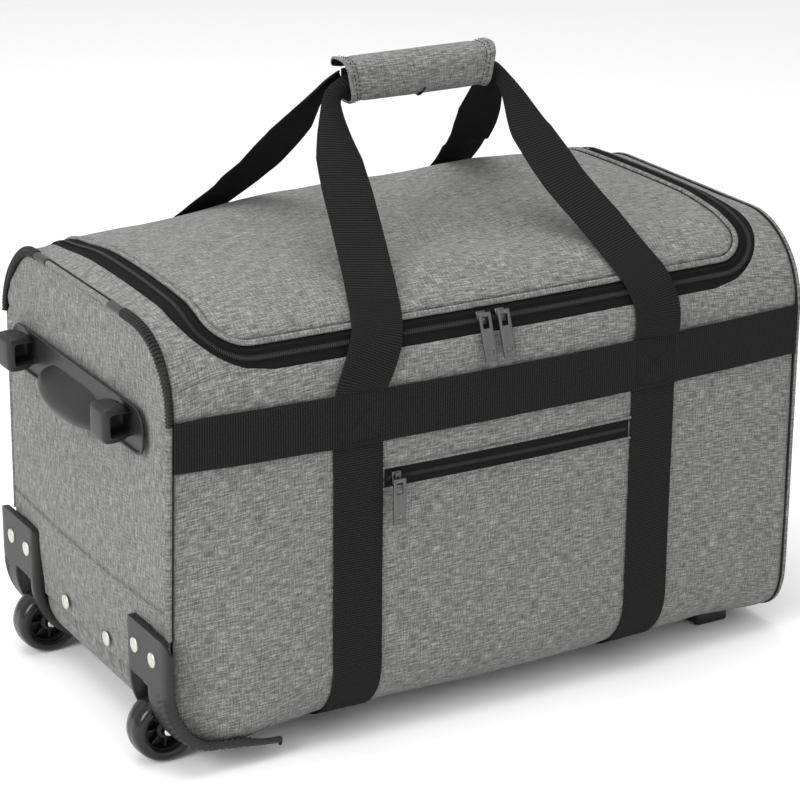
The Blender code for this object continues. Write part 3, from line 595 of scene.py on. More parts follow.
def swept_tube(points, radius, sides=12, closed=False, flatten=1.0, across=None):
    """A tube along points. radius is a number, or is read along the tube's part from 0 to 1."""
    count = len(points)
    frames = []
    run = 0.0
    for i in range(count + closed):
        at = i % count
        before = points[at - 1] if closed or at else points[0]
        after = points[(at + 1) % count] if closed or at < count - 1 else points[-1]
        forward = (after - before).normalized()
        first = (across or Vector((1, 0, 0))).copy()
        first = (first - forward * first.dot(forward)).normalized()
        run += (points[at] - points[at - 1]).length if i else 0.0
        frames.append((points[at], first, forward.cross(first), run))
    rows = len(frames) - 1

    def place(u, v):
        point, first, second, along = frames[round(v * rows)]
        size = radius(v) if callable(radius) else radius
        turn = u * math.tau
        out = first * math.cos(turn) + second * math.sin(turn) * flatten
        return point + out * size, (u * math.tau * 0.0026, along)

    bm = cloth_grid(place, sides, rows, centre=sum(points, Vector()) / count)
    bmesh.ops.remove_doubles(bm, verts=bm.verts, dist=0.00001)
    if not closed:
        bmesh.ops.holes_fill(bm, edges=[e for e in bm.edges if e.is_boundary], sides=0)
    bmesh.ops.recalc_face_normals(bm, faces=bm.faces)
    return bm


def box_between(bm, low, high):
    low, high = Vector(low), Vector(high)
    made = bmesh.ops.create_cube(bm, size=1.0)["verts"]
    bmesh.ops.scale(bm, vec=high - low, verts=made)
    bmesh.ops.translate(bm, vec=(low + high) / 2, verts=made)
    return made


def turned(bm, outline, centre, turns=48, axis=Vector((0, 1, 0))):
    """Turns an open outline of (radius, distance along the axis) about the axis through centre."""
    side = Vector((0, 0, 1)) if abs(axis.z) < 0.9 else Vector((1, 0, 0))
    verts = [bm.verts.new(centre + axis * run + side * radius) for radius, run in outline]
    edges = [bm.edges.new(pair) for pair in zip(verts, verts[1:])]
    bmesh.ops.spin(
        bm, geom=verts + edges, cent=centre, axis=axis, angle=math.tau, steps=turns, use_merge=True
    )
    bmesh.ops.remove_doubles(bm, verts=bm.verts, dist=0.00001)
    bmesh.ops.recalc_face_normals(bm, faces=bm.faces)
    return bm


def scattered(bm, shapes):
    """Adds one small round grain for each transform in shapes."""
    grain = bmesh.new()
    bmesh.ops.create_uvsphere(grain, u_segments=6, v_segments=4, radius=1.0)
    mesh = bpy.data.meshes.new("grain")
    grain.to_mesh(mesh)
    grain.free()
    rest = [vert.co.copy() for vert in mesh.vertices]
    for shape in shapes:
        for vert, co in zip(mesh.vertices, rest):
            vert.co = shape @ co
        bm.from_mesh(mesh)
    bpy.data.meshes.remove(mesh)


def stitch_row(bm, points, normals, length=0.0024, gap=0.0012, radius=0.00028):
    """A row of small rounded stitches lying along points."""
    spots = resampled(points, length + gap)
    shapes = []
    for i, (a, b) in enumerate(zip(spots, spots[1:])):
        normal = normals[min(len(normals) - 1, int(i * len(normals) / len(spots)))]
        way = (b - a).normalized()
        side = way.cross(normal).normalized()
        turn = Matrix((way, side, side.cross(way))).transposed().to_4x4()
        size = Matrix.Diagonal((length / 2, radius, radius, 1.0))
        shapes.append(Matrix.Translation(a.lerp(b, 0.5)) @ turn @ size)
    scattered(bm, shapes)
    return bm


def refined(name, node, body, slot_name, used, bevel=0.0012, segments=3, angle=35):
    """A copy of a hard part of the frame with its edges rounded."""
    bm = bmesh.new()
    bm.from_mesh(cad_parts[node].data)
    bmesh.ops.remove_doubles(bm, verts=bm.verts, dist=0.00002)
    bmesh.ops.dissolve_limit(
        bm, angle_limit=math.radians(1.5), verts=bm.verts, edges=bm.edges, use_dissolve_boundaries=False
    )
    bmesh.ops.recalc_face_normals(bm, faces=bm.faces)
    made = make_piece(name, bm, body, slot_name, used, replaces=[node], smooth=40)
    if bevel:
        round_edges(made, bevel, segments, angle)
    return made


# Body cloth


def body_cloth():
    """Front, back and base cloth with the borders round the lid, in one lined shell."""
    bm = bmesh.new()
    for side in (1, -1):

        def wall(u, v, side=side):
            x = mix(-EDGE, EDGE, u)
            upper = bow(x, ZIP_FRONT + TAPE_HALF) if side > 0 else -ZIP_BACK + 0.003
            reach = mix(upper, run_to_base(x), v)
            still = smoothstep((reach - upper) / 0.020)
            return skin(x, side * reach, drape(x, side * reach) * still), (x, side * reach)

        cloth_grid(wall, 96, 64, bm=bm)
    for side in (-1, 1):

        def border(u, v, side=side):
            run = mix(ZIP_BACK - 0.003, ZIP_FRONT + TAPE_HALF, v)
            still = smoothstep(u / 0.4) * smoothstep(v / 0.1) * smoothstep((1 - v) / 0.1)
            x = side * mix(border_half_width(run), EDGE, u)
            run = bow(x, run)
            return skin(x, run, drape(x, run) * still), (x, run)

        cloth_grid(border, 10, 80, bm=bm)

    def base(u, v):
        x = mix(-0.2215, EDGE, u)
        reach = half_depth(x) - base_radius(x)
        y = mix(-reach, reach, v)
        return Vector((x, y, BASE_HEIGHT)), (x, y)

    cloth_grid(base, 40, 16, bm=bm)

    def wheel_end(u, v):
        angle = mix(0.0, math.pi / 2, u)
        x = -HALF_LENGTH + WHEEL_END_RADIUS * (1 - math.cos(angle))
        z = BASE_HEIGHT + WHEEL_END_RADIUS * (1 - math.sin(angle))
        y = mix(-0.0872, 0.0872, v)
        return Vector((x, y, z)), (x, y)

    cloth_grid(wheel_end, 12, 12, bm=bm)
    nodes = ["front_panel", "back_panel", "base_panel", "top_border_wheel_end", "top_border_handle_end"]
    made = make_piece("body_cloth", bm, "root", "grey_fabric", FABRIC, LINING, replaces=nodes, smooth=60)
    return thicken(made, 0.0020, lining=1)


def lid_cloth():
    """The lid's crowned cloth, tucked under the fold at its edge."""

    def place(u, v):
        run = mix(ZIP_BACK + 0.003, ZIP_FRONT - TAPE_HALF - FOLD, v)
        half = zip_half_width(run, -TAPE_HALF - FOLD)
        x = mix(-half, half, u)
        shown = bow(x, run)
        edge = min(half - abs(x), ZIP_FRONT - TAPE_HALF - FOLD - run)
        tuck = -0.0012 * (1 - smoothstep(edge / 0.004))
        return skin(x, shown, lid_drape(x, run) + tuck), (x, shown)

    bm = cloth_grid(place, 110, 84)
    made = make_piece(
        "lid_cloth", bm, "lid", "grey_fabric", FABRIC, LINING, replaces=["lid_panel"], smooth=60
    )
    return thicken(made, 0.0020, lining=1)


def zip_strip(columns, rows, profile):
    """A strip along the zip. profile holds (offset from the teeth, height off the skin) pairs."""

    def place(u, v):
        at = u * (len(profile) - 1)
        i = min(int(at), len(profile) - 2)
        offset = mix(profile[i][0], profile[i + 1][0], at - i)
        lift = mix(profile[i][1], profile[i + 1][1], at - i)
        along = v * ZIP_LENGTH
        return zip_point(along, offset, lift), (offset, along)

    return cloth_grid(place, columns, rows)


def lid_fold():
    """The folded, topstitched strip that edges the lid cloth beside its tape."""
    start = -TAPE_HALF + 0.0002
    width = FOLD + 0.0003
    profile = [(start, -0.0004), (start - 0.0002, 0.0008), (start - 0.0010, 0.0015)]
    profile += [(start - width / 2, 0.0018), (start - width + 0.0010, 0.0014)]
    profile += [(start - width + 0.0002, 0.0006), (start - width, -0.0006)]
    bm = zip_strip(len(profile) - 1, 320, profile)
    made = make_piece("lid_fold_strip", bm, "lid", "grey_fabric", FABRIC, LINING, smooth=60)
    thicken(made, 0.0008, lining=1)
    bm = bmesh.new()
    points = [zip_point(along, start - width / 2, 0.0019) for along in steps(0.004, ZIP_LENGTH - 0.004, 420)]
    normals = [(zip_point(a, 0, 1.0) - zip_point(a, 0)).normalized() for a in steps(0, ZIP_LENGTH, 420)]
    stitch_row(bm, points, normals, 0.0026, 0.0009, 0.00022)
    make_piece("lid_fold_stitches", bm, "lid", "grey_fabric", THREAD_GREY, smooth=60)


def main_zip():
    """Two woven tapes, a ridge on the lid's one, and interlocking coil teeth on both."""
    outer = [(0.0003, 0.0001), (0.0018, 0.0001), (0.0022, -0.0006), (0.0070, -0.0007), (0.0104, -0.0002)]
    bm = zip_strip(len(outer) - 1, 300, outer)
    made = make_piece("zip_tape_on_body", bm, "root", "zip_tape", TAPE, replaces=["zip_tape_body"], smooth=60)
    thicken(made, 0.0007)
    inner = [(-0.0003, 0.0001), (-0.0020, 0.0001), (-0.0026, -0.0005), (-0.0042, -0.0005)]
    inner += [(-0.0050, 0.0006), (-0.0060, 0.0008), (-0.0068, -0.0004), (-0.0102, -0.0007)]
    bm = zip_strip(len(inner) - 1, 300, inner)
    made = make_piece("zip_tape_on_lid", bm, "lid", "zip_tape", TAPE, replaces=["zip_tape_lid"], smooth=60)
    thicken(made, 0.0007)
    for body, name, side in (("root", "zip_teeth_on_body", 1), ("lid", "zip_teeth_on_lid", -1)):
        bm = bmesh.new()
        shapes = []
        for i in range(2, int(ZIP_LENGTH / TOOTH_PITCH) - 2):
            along = (i + (0.5 if side < 0 else 0.0)) * TOOTH_PITCH
            middle = zip_point(along, side * 0.0007, 0.0008)
            forward = (zip_point(along + 0.001, side * 0.0007) - zip_point(along - 0.001, side * 0.0007))
            normal = (zip_point(along, 0, 1.0) - zip_point(along, 0)).normalized()
            across = normal.cross(forward.normalized())
            turn = Matrix((across, forward.normalized(), normal)).transposed().to_4x4()
            size = Matrix.Diagonal((0.00135, 0.00045, 0.00055, 1.0))
            shapes.append(Matrix.Translation(middle) @ turn @ size)
        scattered(bm, shapes)
        make_piece(name, bm, body, "zip_tape", COIL, smooth=60)


def lid_hinge():
    """Cloth that bends along the back of the lid."""

    def place(u, v):
        x = mix(-ZIP_X + TAPE_HALF, ZIP_X - TAPE_HALF, u)
        run = mix(ZIP_BACK + 0.006, ZIP_BACK - 0.006, v)
        return skin(x, run, 0.0012), (x, run)

    bm = cloth_grid(place, 60, 10)
    made = make_piece("lid_hinge_cloth", bm, None, "grey_fabric", FABRIC, smooth=60)
    thicken(made, 0.0010)
    skin(0, ZIP_BACK - 0.004)
    skin(0, ZIP_BACK + 0.004)
    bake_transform(made)


# Ends and piping


def end_half_width(z, inset, low, low_radius):
    """Half the width of an end at a height, inside its seam by inset."""
    top, half = END_HEIGHT - inset, SEAM_HALF_DEPTH - inset
    radius = TOP_RADIUS - inset
    if z > top - radius:
        return half - radius + math.sqrt(max(0.0, radius**2 - (z - top + radius) ** 2))
    low_radius = max(0.002, low_radius - inset)
    if z < low + inset + low_radius:
        gap = low + inset + low_radius - z
        return half - low_radius + math.sqrt(max(0.0, low_radius**2 - gap**2))
    return half


def wheel_end_bulge(y, z):
    """How far the wheel-end cloth stands out: soft bulge low down, gathers below the two corner guards."""
    side = 1 - (abs(y) / SEAM_HALF_DEPTH) ** 2
    low = 0.0050 * side * (1 - smoothstep((z - 0.13) / 0.09)) * smoothstep((z - 0.055) / 0.05)
    edge = SEAM_HALF_DEPTH - abs(y)
    gather = math.exp(-((edge - 0.010) / 0.009) ** 2) * math.exp(-((z - 0.262) / 0.030) ** 2)
    pucker = 0.0028 * gather * math.sin(z / 0.0105 * math.tau / 2 + edge * 300)
    away = smoothstep((abs(y) - 0.128) / 0.012)
    wave = 0.0007 * ripple(y, z, 0.06, 21.0) * smoothstep(edge / 0.02)
    return low + pucker * away + min(0.0, wave)


def wheel_end_cloth():
    """The wheel end's cloth in two parts, joined by a stitched seam."""
    bottom = BASE_HEIGHT + WHEEL_END_RADIUS
    for name, low, high in (("upper", SEAM_Z, END_HEIGHT - 0.0036), ("lower", bottom + 0.0005, SEAM_Z)):

        def place(u, v, low=low, high=high):
            z = mix(low, high, v)
            y = mix(-1, 1, u) * end_half_width(z, 0.0034, bottom, WHEEL_END_BASE_RADIUS)
            seam = 0.0013 * math.exp(-(((z - SEAM_Z) / 0.0022) ** 2))
            rim = 0.0016 * (1 - smoothstep((SEAM_HALF_DEPTH - 0.0034 - abs(y)) / 0.006))
            return Vector((-HALF_LENGTH - 0.0012 - wheel_end_bulge(y, z) + seam + rim, y, z)), (z, y)

        bm = cloth_grid(place, 90, 70 if name == "upper" else 24)
        made = make_piece(
            "wheel_end_cloth_" + name, bm, "root", "grey_fabric", FABRIC, LINING,
            replaces=["wheel_end_panel_" + name], smooth=60,
        )
        thicken(made, 0.0018, lining=1)
    bm = bmesh.new()
    points = [Vector((-HALF_LENGTH - 0.0013 - wheel_end_bulge(y, SEAM_Z + 0.003), y, SEAM_Z + 0.003))
              for y in steps(-0.146, 0.146, 80)]
    stitch_row(bm, points, [Vector((-1, 0, 0))] * 80, 0.0028, 0.0010, 0.00018)
    make_piece("wheel_end_seam_stitches", bm, "root", "grey_fabric", THREAD_GREY, smooth=60)


def handle_end_cloth():
    """The trolley end's cloth, cut out round the bezel."""

    def place(u, v):
        z = mix(BASE_HEIGHT + 0.0034, END_HEIGHT - 0.0036, v)
        y = mix(-1, 1, u) * end_half_width(z, 0.0034, BASE_HEIGHT, BASE_RADIUS)
        side = 1 - (abs(y) / SEAM_HALF_DEPTH) ** 2
        up = 1 - ((z - 0.19) / 0.16) ** 2
        bulge = 0.0032 * side * max(0.0, up) + min(0.0, 0.0008 * ripple(y, z, 0.07, 31.0))
        return Vector((HALF_LENGTH + 0.0012 + bulge, y, z)), (z, y)

    bm = cloth_grid(place, 90, 100)
    hole = [f for f in bm.faces if abs(f.calc_center_median().y) < 0.0935
            and 0.0185 < f.calc_center_median().z < 0.0493]
    bmesh.ops.delete(bm, geom=hole, context="FACES")
    made = make_piece(
        "handle_end_cloth", bm, "root", "grey_fabric", FABRIC, LINING,
        replaces=["handle_end_panel"], smooth=60,
    )
    thicken(made, 0.0018, lining=1)


def seam_path(side, inset, count=14):
    """Points round an end seam, from the middle of the top over the front side and back again."""
    x = side * 0.2712
    low_radius = WHEEL_END_BASE_RADIUS if side < 0 else BASE_RADIUS
    bottom = BASE_HEIGHT + WHEEL_END_RADIUS if side < 0 else BASE_HEIGHT
    half, top = SEAM_HALF_DEPTH - inset, END_HEIGHT - inset
    high, low = TOP_RADIUS - inset, max(0.002, low_radius - inset)
    points = [Vector((x, y, top)) for y in steps(0.0, -(half - high), 12)]
    for angle in steps(0, math.pi / 2, count)[1:]:
        y = -(half - high + high * math.sin(angle))
        points.append(Vector((x, y, top - high + high * math.cos(angle))))
    start, end = top - high, bottom + inset + low
    points += [Vector((x, -half, z)) for z in steps(start, end, 24)[1:]]
    for angle in steps(0, math.pi / 2, count)[1:]:
        points.append(Vector((x, -(half - low + low * math.cos(angle)), end - low * math.sin(angle))))
    points += [Vector((x, y, bottom + inset)) for y in steps(-(half - low), 0.0, 12)[1:]]
    return points


def mirrored_front_to_back(points):
    return [Vector((p.x, -p.y, p.z)) for p in points]


def piping():
    """Corded piping on both end seams, and a thin black tube along each seam as painted seam shadow."""
    loop = seam_path(1, 0.0014)
    loop += list(reversed(mirrored_front_to_back(loop)))[1:-1]
    bm = swept_tube(loop, 0.0026, 12, closed=True)
    make_piece("piping_handle_end_cord", bm, "root", "grey_fabric", CORD_FABRIC,
               replaces=["piping_handle_end"], smooth=60)
    front = seam_path(-1, 0.0012)
    top = [p for p in front if p.z > 0.335 and abs(p.y) < 0.058]
    across = list(reversed(top)) + mirrored_front_to_back(top)[1:]
    bm = swept_tube(across, 0.0023, 12)
    make_piece("piping_wheel_end_top_cord", bm, "root", "grey_fabric", CORD_FABRIC,
               replaces=["piping_wheel_end_top"], smooth=60)
    down = [p for p in front if p.z < 0.280 and p.z > 0.108 and abs(p.y) > 0.145]
    inner = [p + Vector((0.0022, 0, 0)) for p in mirrored_front_to_back(down)]
    for name, points, radius in (("front", down, 0.0028), ("back", inner, 0.0016)):
        bm = swept_tube(points, radius, 12)
        make_piece("piping_wheel_end_" + name + "_cord", bm, "root", "grey_fabric", CORD_FABRIC,
                   replaces=["piping_wheel_end_" + name], smooth=60)
    # Painted seam shadow: a thin black tube laid along each end seam.
    for side, name in ((-1, "wheel_end"), (1, "handle_end")):
        line = [Vector((side * (EDGE + 0.0004), p.y, p.z)) for p in seam_path(side, -0.0002)]
        line = [p for p in line if side > 0 or p.z > 0.105]
        ring = list(reversed(mirrored_front_to_back(line)))[:-1] + line
        if side > 0:
            ring = ring[:-1]
        bm = swept_tube(ring, 0.0011, 6, closed=side > 0)
        make_piece("seam_shadow_" + name, bm, "root", "black_webbing", BLACK_THREAD_AND_SEAM_SHADE, smooth=60)


def resampled(points, spacing):
    """The same line with evenly spaced points."""
    found, left = [points[0]], spacing
    for a, b in zip(points, points[1:]):
        span = (b - a).length
        while left <= span:
            found.append(a.lerp(b, left / span))
            left += spacing
        left -= span
    return found


def corner_guards():
    """Black spring-like ribs over each upper corner of the wheel end, with a plain sleeve at the top."""
    path = [p for p in seam_path(-1, 0.0006, 24) if p.y < -0.052 and p.z > 0.272]
    for name, points in (("front", path), ("back", mirrored_front_to_back(path))):
        fine = resampled(points, 0.00048)
        sleeve_end = 20
        while (fine[sleeve_end] - fine[0]).length < 0.021:
            sleeve_end += 1
        sleeve = fine[: sleeve_end + 1]
        bm = swept_tube(sleeve, 0.0034, 16, flatten=0.85)
        make_piece("corner_sleeve_" + name, bm, "root", "black_webbing", GUARD, smooth=50)
        ribs = fine[sleeve_end:]

        def rib_radius(part, ribs=ribs):
            length = part * len(ribs) * 0.00048
            wave = abs(math.sin(math.pi * length / 0.0029)) ** 0.8
            return mix(0.0024, 0.0041, wave) * mix(1.0, 0.72, smoothstep((part - 0.55) / 0.3))

        bm = swept_tube(ribs, rib_radius, 14)
        make_piece("corner_guard_coil_" + name, bm, "root", "black_webbing", GUARD_DARK,
                   replaces=["corner_guard_" + name], smooth=80)


# Webbing


def ribbon(name, body, place, length, columns, rows, replaces=(), used=None, thickness=WEBBING_THICK):
    """Flat webbing. place turns (u across, v along) into a point on its underside."""

    def laid(u, v):
        return place(u, v), (u * WEBBING, v * length)

    bm = cloth_grid(laid, columns, rows)
    made = make_piece(name, bm, body, "black_webbing", used or WEB, replaces=replaces, smooth=50)
    thicken(made, thickness, 1.0)
    round_edges(made, 0.0005, 2, 60)
    return made


def bands():
    """Level webbing round the front and the back."""
    for name, side in (("band_front", 1), ("band_back", -1)):

        def place(u, v, side=side):
            x = mix(-EDGE - 0.0005, EDGE + 0.0005, v)
            bump_over = 0.0008 * (1 - smoothstep((abs(abs(x) - STRAP_CENTRE) - WEBBING / 2) / 0.012))
            lift = 0.0012 + bump_over + 0.0004 * ripple(x, u * 0.04, 0.05, 41.0)
            return skin(x, side * run_to_height(x, mix(BAND_BOTTOM, BAND_TOP, u)), lift)

        ribbon(name + "_webbing", "root", place, 2 * EDGE, 6, 150, [name])


def straps():
    """Two strips of webbing down the front, under the base and up the back."""
    for name, side in (("strap_wheel_end", -1), ("strap_handle_end", 1)):
        centre = side * STRAP_CENTRE
        low = run_to_height(centre, BAND_TOP - 0.004)
        length = 2 * (half_girth(centre) - low)

        def place(u, v, centre=centre, low=low, length=length):
            x = centre + mix(-WEBBING / 2, WEBBING / 2, u) + 0.0006 * ripple(v * length, 0, 0.12, centre)
            girth = half_girth(centre)
            run = low + v * length
            part = run if run < girth else 2 * girth - run
            own = part * half_girth(x) / girth
            lift = 0.0002 + 0.0003 * ripple(v * length, u, 0.09, 43.0)
            return skin(x, own if run < girth else -own, lift)

        ribbon(name + "_webbing", "root", place, length, 6, 170, [name])


# Carry handle legs: (height, x of the middle) from the band up to the grip, then (height, width)
FRONT_LEFT = [(0.270, -0.128), (0.284, -0.127), (0.317, -0.109), (0.350, -0.098), (0.380, -0.090),
              (0.413, -0.082), (0.430, -0.077), (0.444, -0.071), (0.453, -0.066), (0.459, -0.059),
              (0.464, -0.048)]
FRONT_RIGHT = [(0.270, 0.128), (0.303, 0.130), (0.322, 0.126), (0.357, 0.110), (0.387, 0.095),
               (0.420, 0.086), (0.440, 0.086), (0.450, 0.084), (0.458, 0.079), (0.464, 0.066)]
BACK_LEFT = [(0.270, -0.128), (0.300, -0.120), (0.343, -0.100), (0.361, -0.087), (0.381, -0.076),
             (0.413, -0.070), (0.440, -0.068), (0.453, -0.065), (0.459, -0.059), (0.464, -0.048)]
BACK_RIGHT = [(0.270, 0.128), (0.300, 0.128), (0.352, 0.1255), (0.386, 0.116), (0.407, 0.106),
              (0.436, 0.090), (0.450, 0.082), (0.457, 0.075), (0.464, 0.062)]
LEG_WIDTH = [(0.400, WEBBING), (0.418, 0.037), (0.432, 0.027), (0.443, 0.019), (0.452, 0.014),
             (0.470, 0.011)]
LEG_HUG = 0.060
LEG_FOOT = 0.282


def leg_line(facing, centre, part):
    """(point, normal) of a handle leg, part 0 at the band to 1 in the grip."""
    foot_x = centre[0][1]
    start = run_to_height(foot_x, LEG_FOOT)
    hug = smoothstep(part / 0.36) * 0.5 + 0.5 * min(1.0, part / 0.36)
    if part < 0.36:
        run = start + 0.008 - (LEG_HUG + 0.008) * hug
        lift = mix(0.0004, 0.0040, smoothstep(part / 0.08))
        place = skin(foot_x, -facing * run, lift)
        normal = skin_normal(foot_x, -facing * run)
    else:
        last = skin(foot_x, -facing * (start - LEG_HUG), 0.0040)
        top = Vector((0, facing * 0.0066, 0.4640))
        along = (part - 0.36) / 0.64
        place = last.lerp(top, along)
        place.y = mix(last.y, top.y, min(1.0, along / 0.93))
        first = skin_normal(foot_x, -facing * (start - LEG_HUG))
        upright = Vector((0, facing * 0.86, 0.5)).normalized()
        normal = first.lerp(upright, smoothstep(along)).normalized()
    place.x = through(centre, place.z)
    return place, normal


def leg_cloth(bm, facing, centre):
    """One handle leg, gathered and cupped as it nears the grip."""
    rows = 60
    stations = []
    for i in range(rows + 1):
        point, normal = leg_line(facing, centre, i / rows)
        stations.append((point, normal))
    smooth = [stations[0]]
    for a, b, c in zip(stations, stations[1:], stations[2:]):
        smooth.append(((a[0] + b[0] * 2 + c[0]) / 4, b[1]))
    smooth.append(stations[-1])
    length = sum((b[0] - a[0]).length for a, b in zip(smooth, smooth[1:]))

    def place(u, v):
        at = min(int(v * rows + 0.5), rows)
        point, normal = smooth[at]
        forward = (smooth[min(rows, at + 1)][0] - smooth[max(0, at - 1)][0]).normalized()
        level = Vector((1, 0, 0))
        across = (level - forward * level.dot(forward)).normalized()
        sideways = normal.cross(forward)
        across = across.lerp(sideways.normalized() * (1 if sideways.x > 0 else -1), 0.5)
        across = across.normalized()
        width = through(LEG_WIDTH, point.z)
        gather = (1 - width / WEBBING) * 0.0045
        cup = -(0.0016 + gather) * (1 - (2 * u - 1) ** 2) * smoothstep((point.z - 0.36) / 0.06)
        return point + across * width * (u - 0.5) - normal * cup, (u * WEBBING, v * length)

    cloth_grid(place, 6, rows, centre=Vector((0, 0, 0.30)), bm=bm)


def handles():
    """Front and back carry handles: two legs each, and a flat run inside the grip."""
    nodes = (("front_handle", -1, FRONT_LEFT, FRONT_RIGHT), ("back_handle", 1, BACK_LEFT, BACK_RIGHT))
    for name, facing, left, right in nodes:
        bm = bmesh.new()
        leg_cloth(bm, facing, left)
        leg_cloth(bm, facing, right)

        def bar(u, v, facing=facing):
            x = mix(GRIP_LEFT + 0.003, GRIP_RIGHT - 0.003, v)
            return Vector((x, facing * 0.0062, GRIP_Z + mix(-0.0075, 0.0075, u))), (u * 0.015, v * 0.12)

        cloth_grid(bar, 4, 24, centre=Vector((0, 0, GRIP_Z)), bm=bm)
        made = make_piece(name + "_webbing", bm, None, "black_webbing", WEB, replaces=[name], smooth=50)
        thicken(made, WEBBING_THICK, 0.0)
        round_edges(made, 0.0005, 2, 60)
        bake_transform(made)


def grip_wrap():
    """Padded cloth wrap round the two handles, open along its back, puffed up by a short cloth run."""
    bm = bmesh.new()
    outline = []
    corners = ((1, -1, 0.0), (-1, -1, -math.pi / 2), (-1, 1, -math.pi), (1, 1, -1.5 * math.pi))
    for side_y, side_z, start in corners:
        for angle in steps(0, math.pi / 2, 5):
            way = start - angle
            y = side_y * (GRIP_HALF_DEPTH - 0.009) + 0.009 * math.cos(way)
            outline.append((y, GRIP_Z + side_z * (GRIP_HALF_HEIGHT - 0.009) + 0.009 * math.sin(way)))
    path = resampled([Vector((0, y, z)) for y, z in outline], 0.0026)
    count = len(path) - 1
    length = count * 0.0026

    def place(u, v):
        at = u * count
        i = min(int(at), count - 1)
        point = path[i].lerp(path[i + 1], at - i)
        x = mix(GRIP_LEFT, GRIP_RIGHT, v)
        edge = min(v, 1 - v) * (GRIP_RIGHT - GRIP_LEFT)
        pinch = 1 + 0.07 * math.exp(-((edge / 0.004) ** 2))
        pinch -= 0.045 * math.exp(-(((edge - 0.0085) / 0.0035) ** 2))
        middle = Vector((0, 0, GRIP_Z))
        point = middle + (point - middle) * pinch
        skew = 0.0030 * (point.z - GRIP_Z) / GRIP_HALF_HEIGHT
        x += skew if v > 0.5 else -skew
        return Vector((x, point.y, point.z)), (v * 0.142, u * length)

    cloth_grid(place, count, 56, centre=Vector((0.013, 0, GRIP_Z)), bm=bm)
    made = make_piece("grip_wrap_padded", bm, None, "grey_fabric", FABRIC, LINING,
                      replaces=["grip_wrap"], smooth=70)
    puff(made, 0.0016)
    soften(made, 1)
    thicken(made, 0.0020, lining=1)
    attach(made, "carry_handle_front")
    bm = bmesh.new()
    for v in (0.036, 0.062, 0.938, 0.964):
        points = [place(u, v)[0] for u in steps(0.02, 0.98, 60)]
        lifted = [p + (p - Vector((p.x, 0, GRIP_Z))).normalized() * 0.0007 for p in points]
        normals = [(p - Vector((p.x, 0, GRIP_Z))).normalized() for p in points]
        stitch_row(bm, lifted, normals, 0.0024, 0.0011, 0.00032)
    make_piece("grip_wrap_stitches", bm, "carry_handle_front", "black_webbing", BLACK_THREAD_AND_SEAM_SHADE, smooth=60)


def puff(piece, most):
    """Swells a cloth piece with a short pressure run, no point moving further than most."""
    rest = [vert.co.copy() for vert in piece.data.vertices]
    pins = piece.vertex_groups.new(name="held")
    for vert in piece.data.vertices:
        edge = min(vert.co.x - GRIP_LEFT, GRIP_RIGHT - vert.co.x)
        if edge < 0.012 or vert.co.y > GRIP_HALF_DEPTH - 0.003:
            pins.add([vert.index], 1.0, "REPLACE")
    step = piece.modifiers.new("puff", "CLOTH")
    step.settings.quality = 6
    step.settings.mass = 0.15
    step.settings.use_pressure = True
    step.settings.uniform_pressure_force = 4.0
    step.settings.effector_weights.gravity = 0.0
    step.settings.vertex_group_mass = "held"
    step.settings.tension_stiffness = 8.0
    step.settings.compression_stiffness = 8.0
    step.settings.bending_stiffness = 0.2
    scene = bpy.context.scene
    for number in range(1, 15):
        scene.frame_set(number)
    evaluated = piece.evaluated_get(bpy.context.evaluated_depsgraph_get())
    moved = [vert.co.copy() for vert in evaluated.data.vertices]
    piece.modifiers.remove(step)
    for vert, before, after in zip(piece.data.vertices, rest, moved):
        way = after - before
        if way.length > most:
            way = way.normalized() * most
        vert.co = before + way
    piece.vertex_groups.clear()
    scene.frame_set(1)


def crossing_stitches():
    """Box and cross of black thread where each strap is sewn under the band, front and back."""
    bm = bmesh.new()
    for facing in (1, -1):
        for centre in (-STRAP_CENTRE, STRAP_CENTRE):
            reach = WEBBING / 2 - 0.003
            corners = [(-reach, -reach), (reach, -reach), (reach, reach), (-reach, reach)]
            lines = list(zip(corners, corners[1:] + corners[:1]))
            lines += [(corners[0], corners[2]), (corners[1], corners[3])]
            for (x0, z0), (x1, z1) in lines:
                points, normals = [], []
                for part in steps(0, 1, 12):
                    x, z = centre + mix(x0, x1, part), 0.260 + mix(z0, z1, part)
                    run = facing * run_to_height(x, z)
                    points.append(skin(x, run, 0.0036))
                    normals.append(skin_normal(x, run))
                stitch_row(bm, points, normals, 0.0026, 0.0009, 0.00030)
    make_piece("crossing_stitches", bm, "root", "black_webbing", BLACK_THREAD_AND_SEAM_SHADE, smooth=60)


def end_strap():
    """Grab strap bowed out across the handle end."""

    def place(u, v):
        part = mix(-1.0, 1.0, v)
        x = 0.2768 + 0.0205 * (1 - abs(part) ** 4)
        return Vector((x, 0.122 * part, 0.172 + 0.025 * (u - 0.5)))

    bm = cloth_grid(lambda u, v: (place(u, v), (u * 0.025, v * 0.25)), 5, 60, centre=Vector((0, 0, 0.172)))
    made = make_piece("end_strap_webbing", bm, "root", "black_webbing", WEB,
                      replaces=["end_strap"], smooth=50)
    thicken(made, WEBBING_THICK, 0.0)
    round_edges(made, 0.0005, 2, 60)


# Pullers


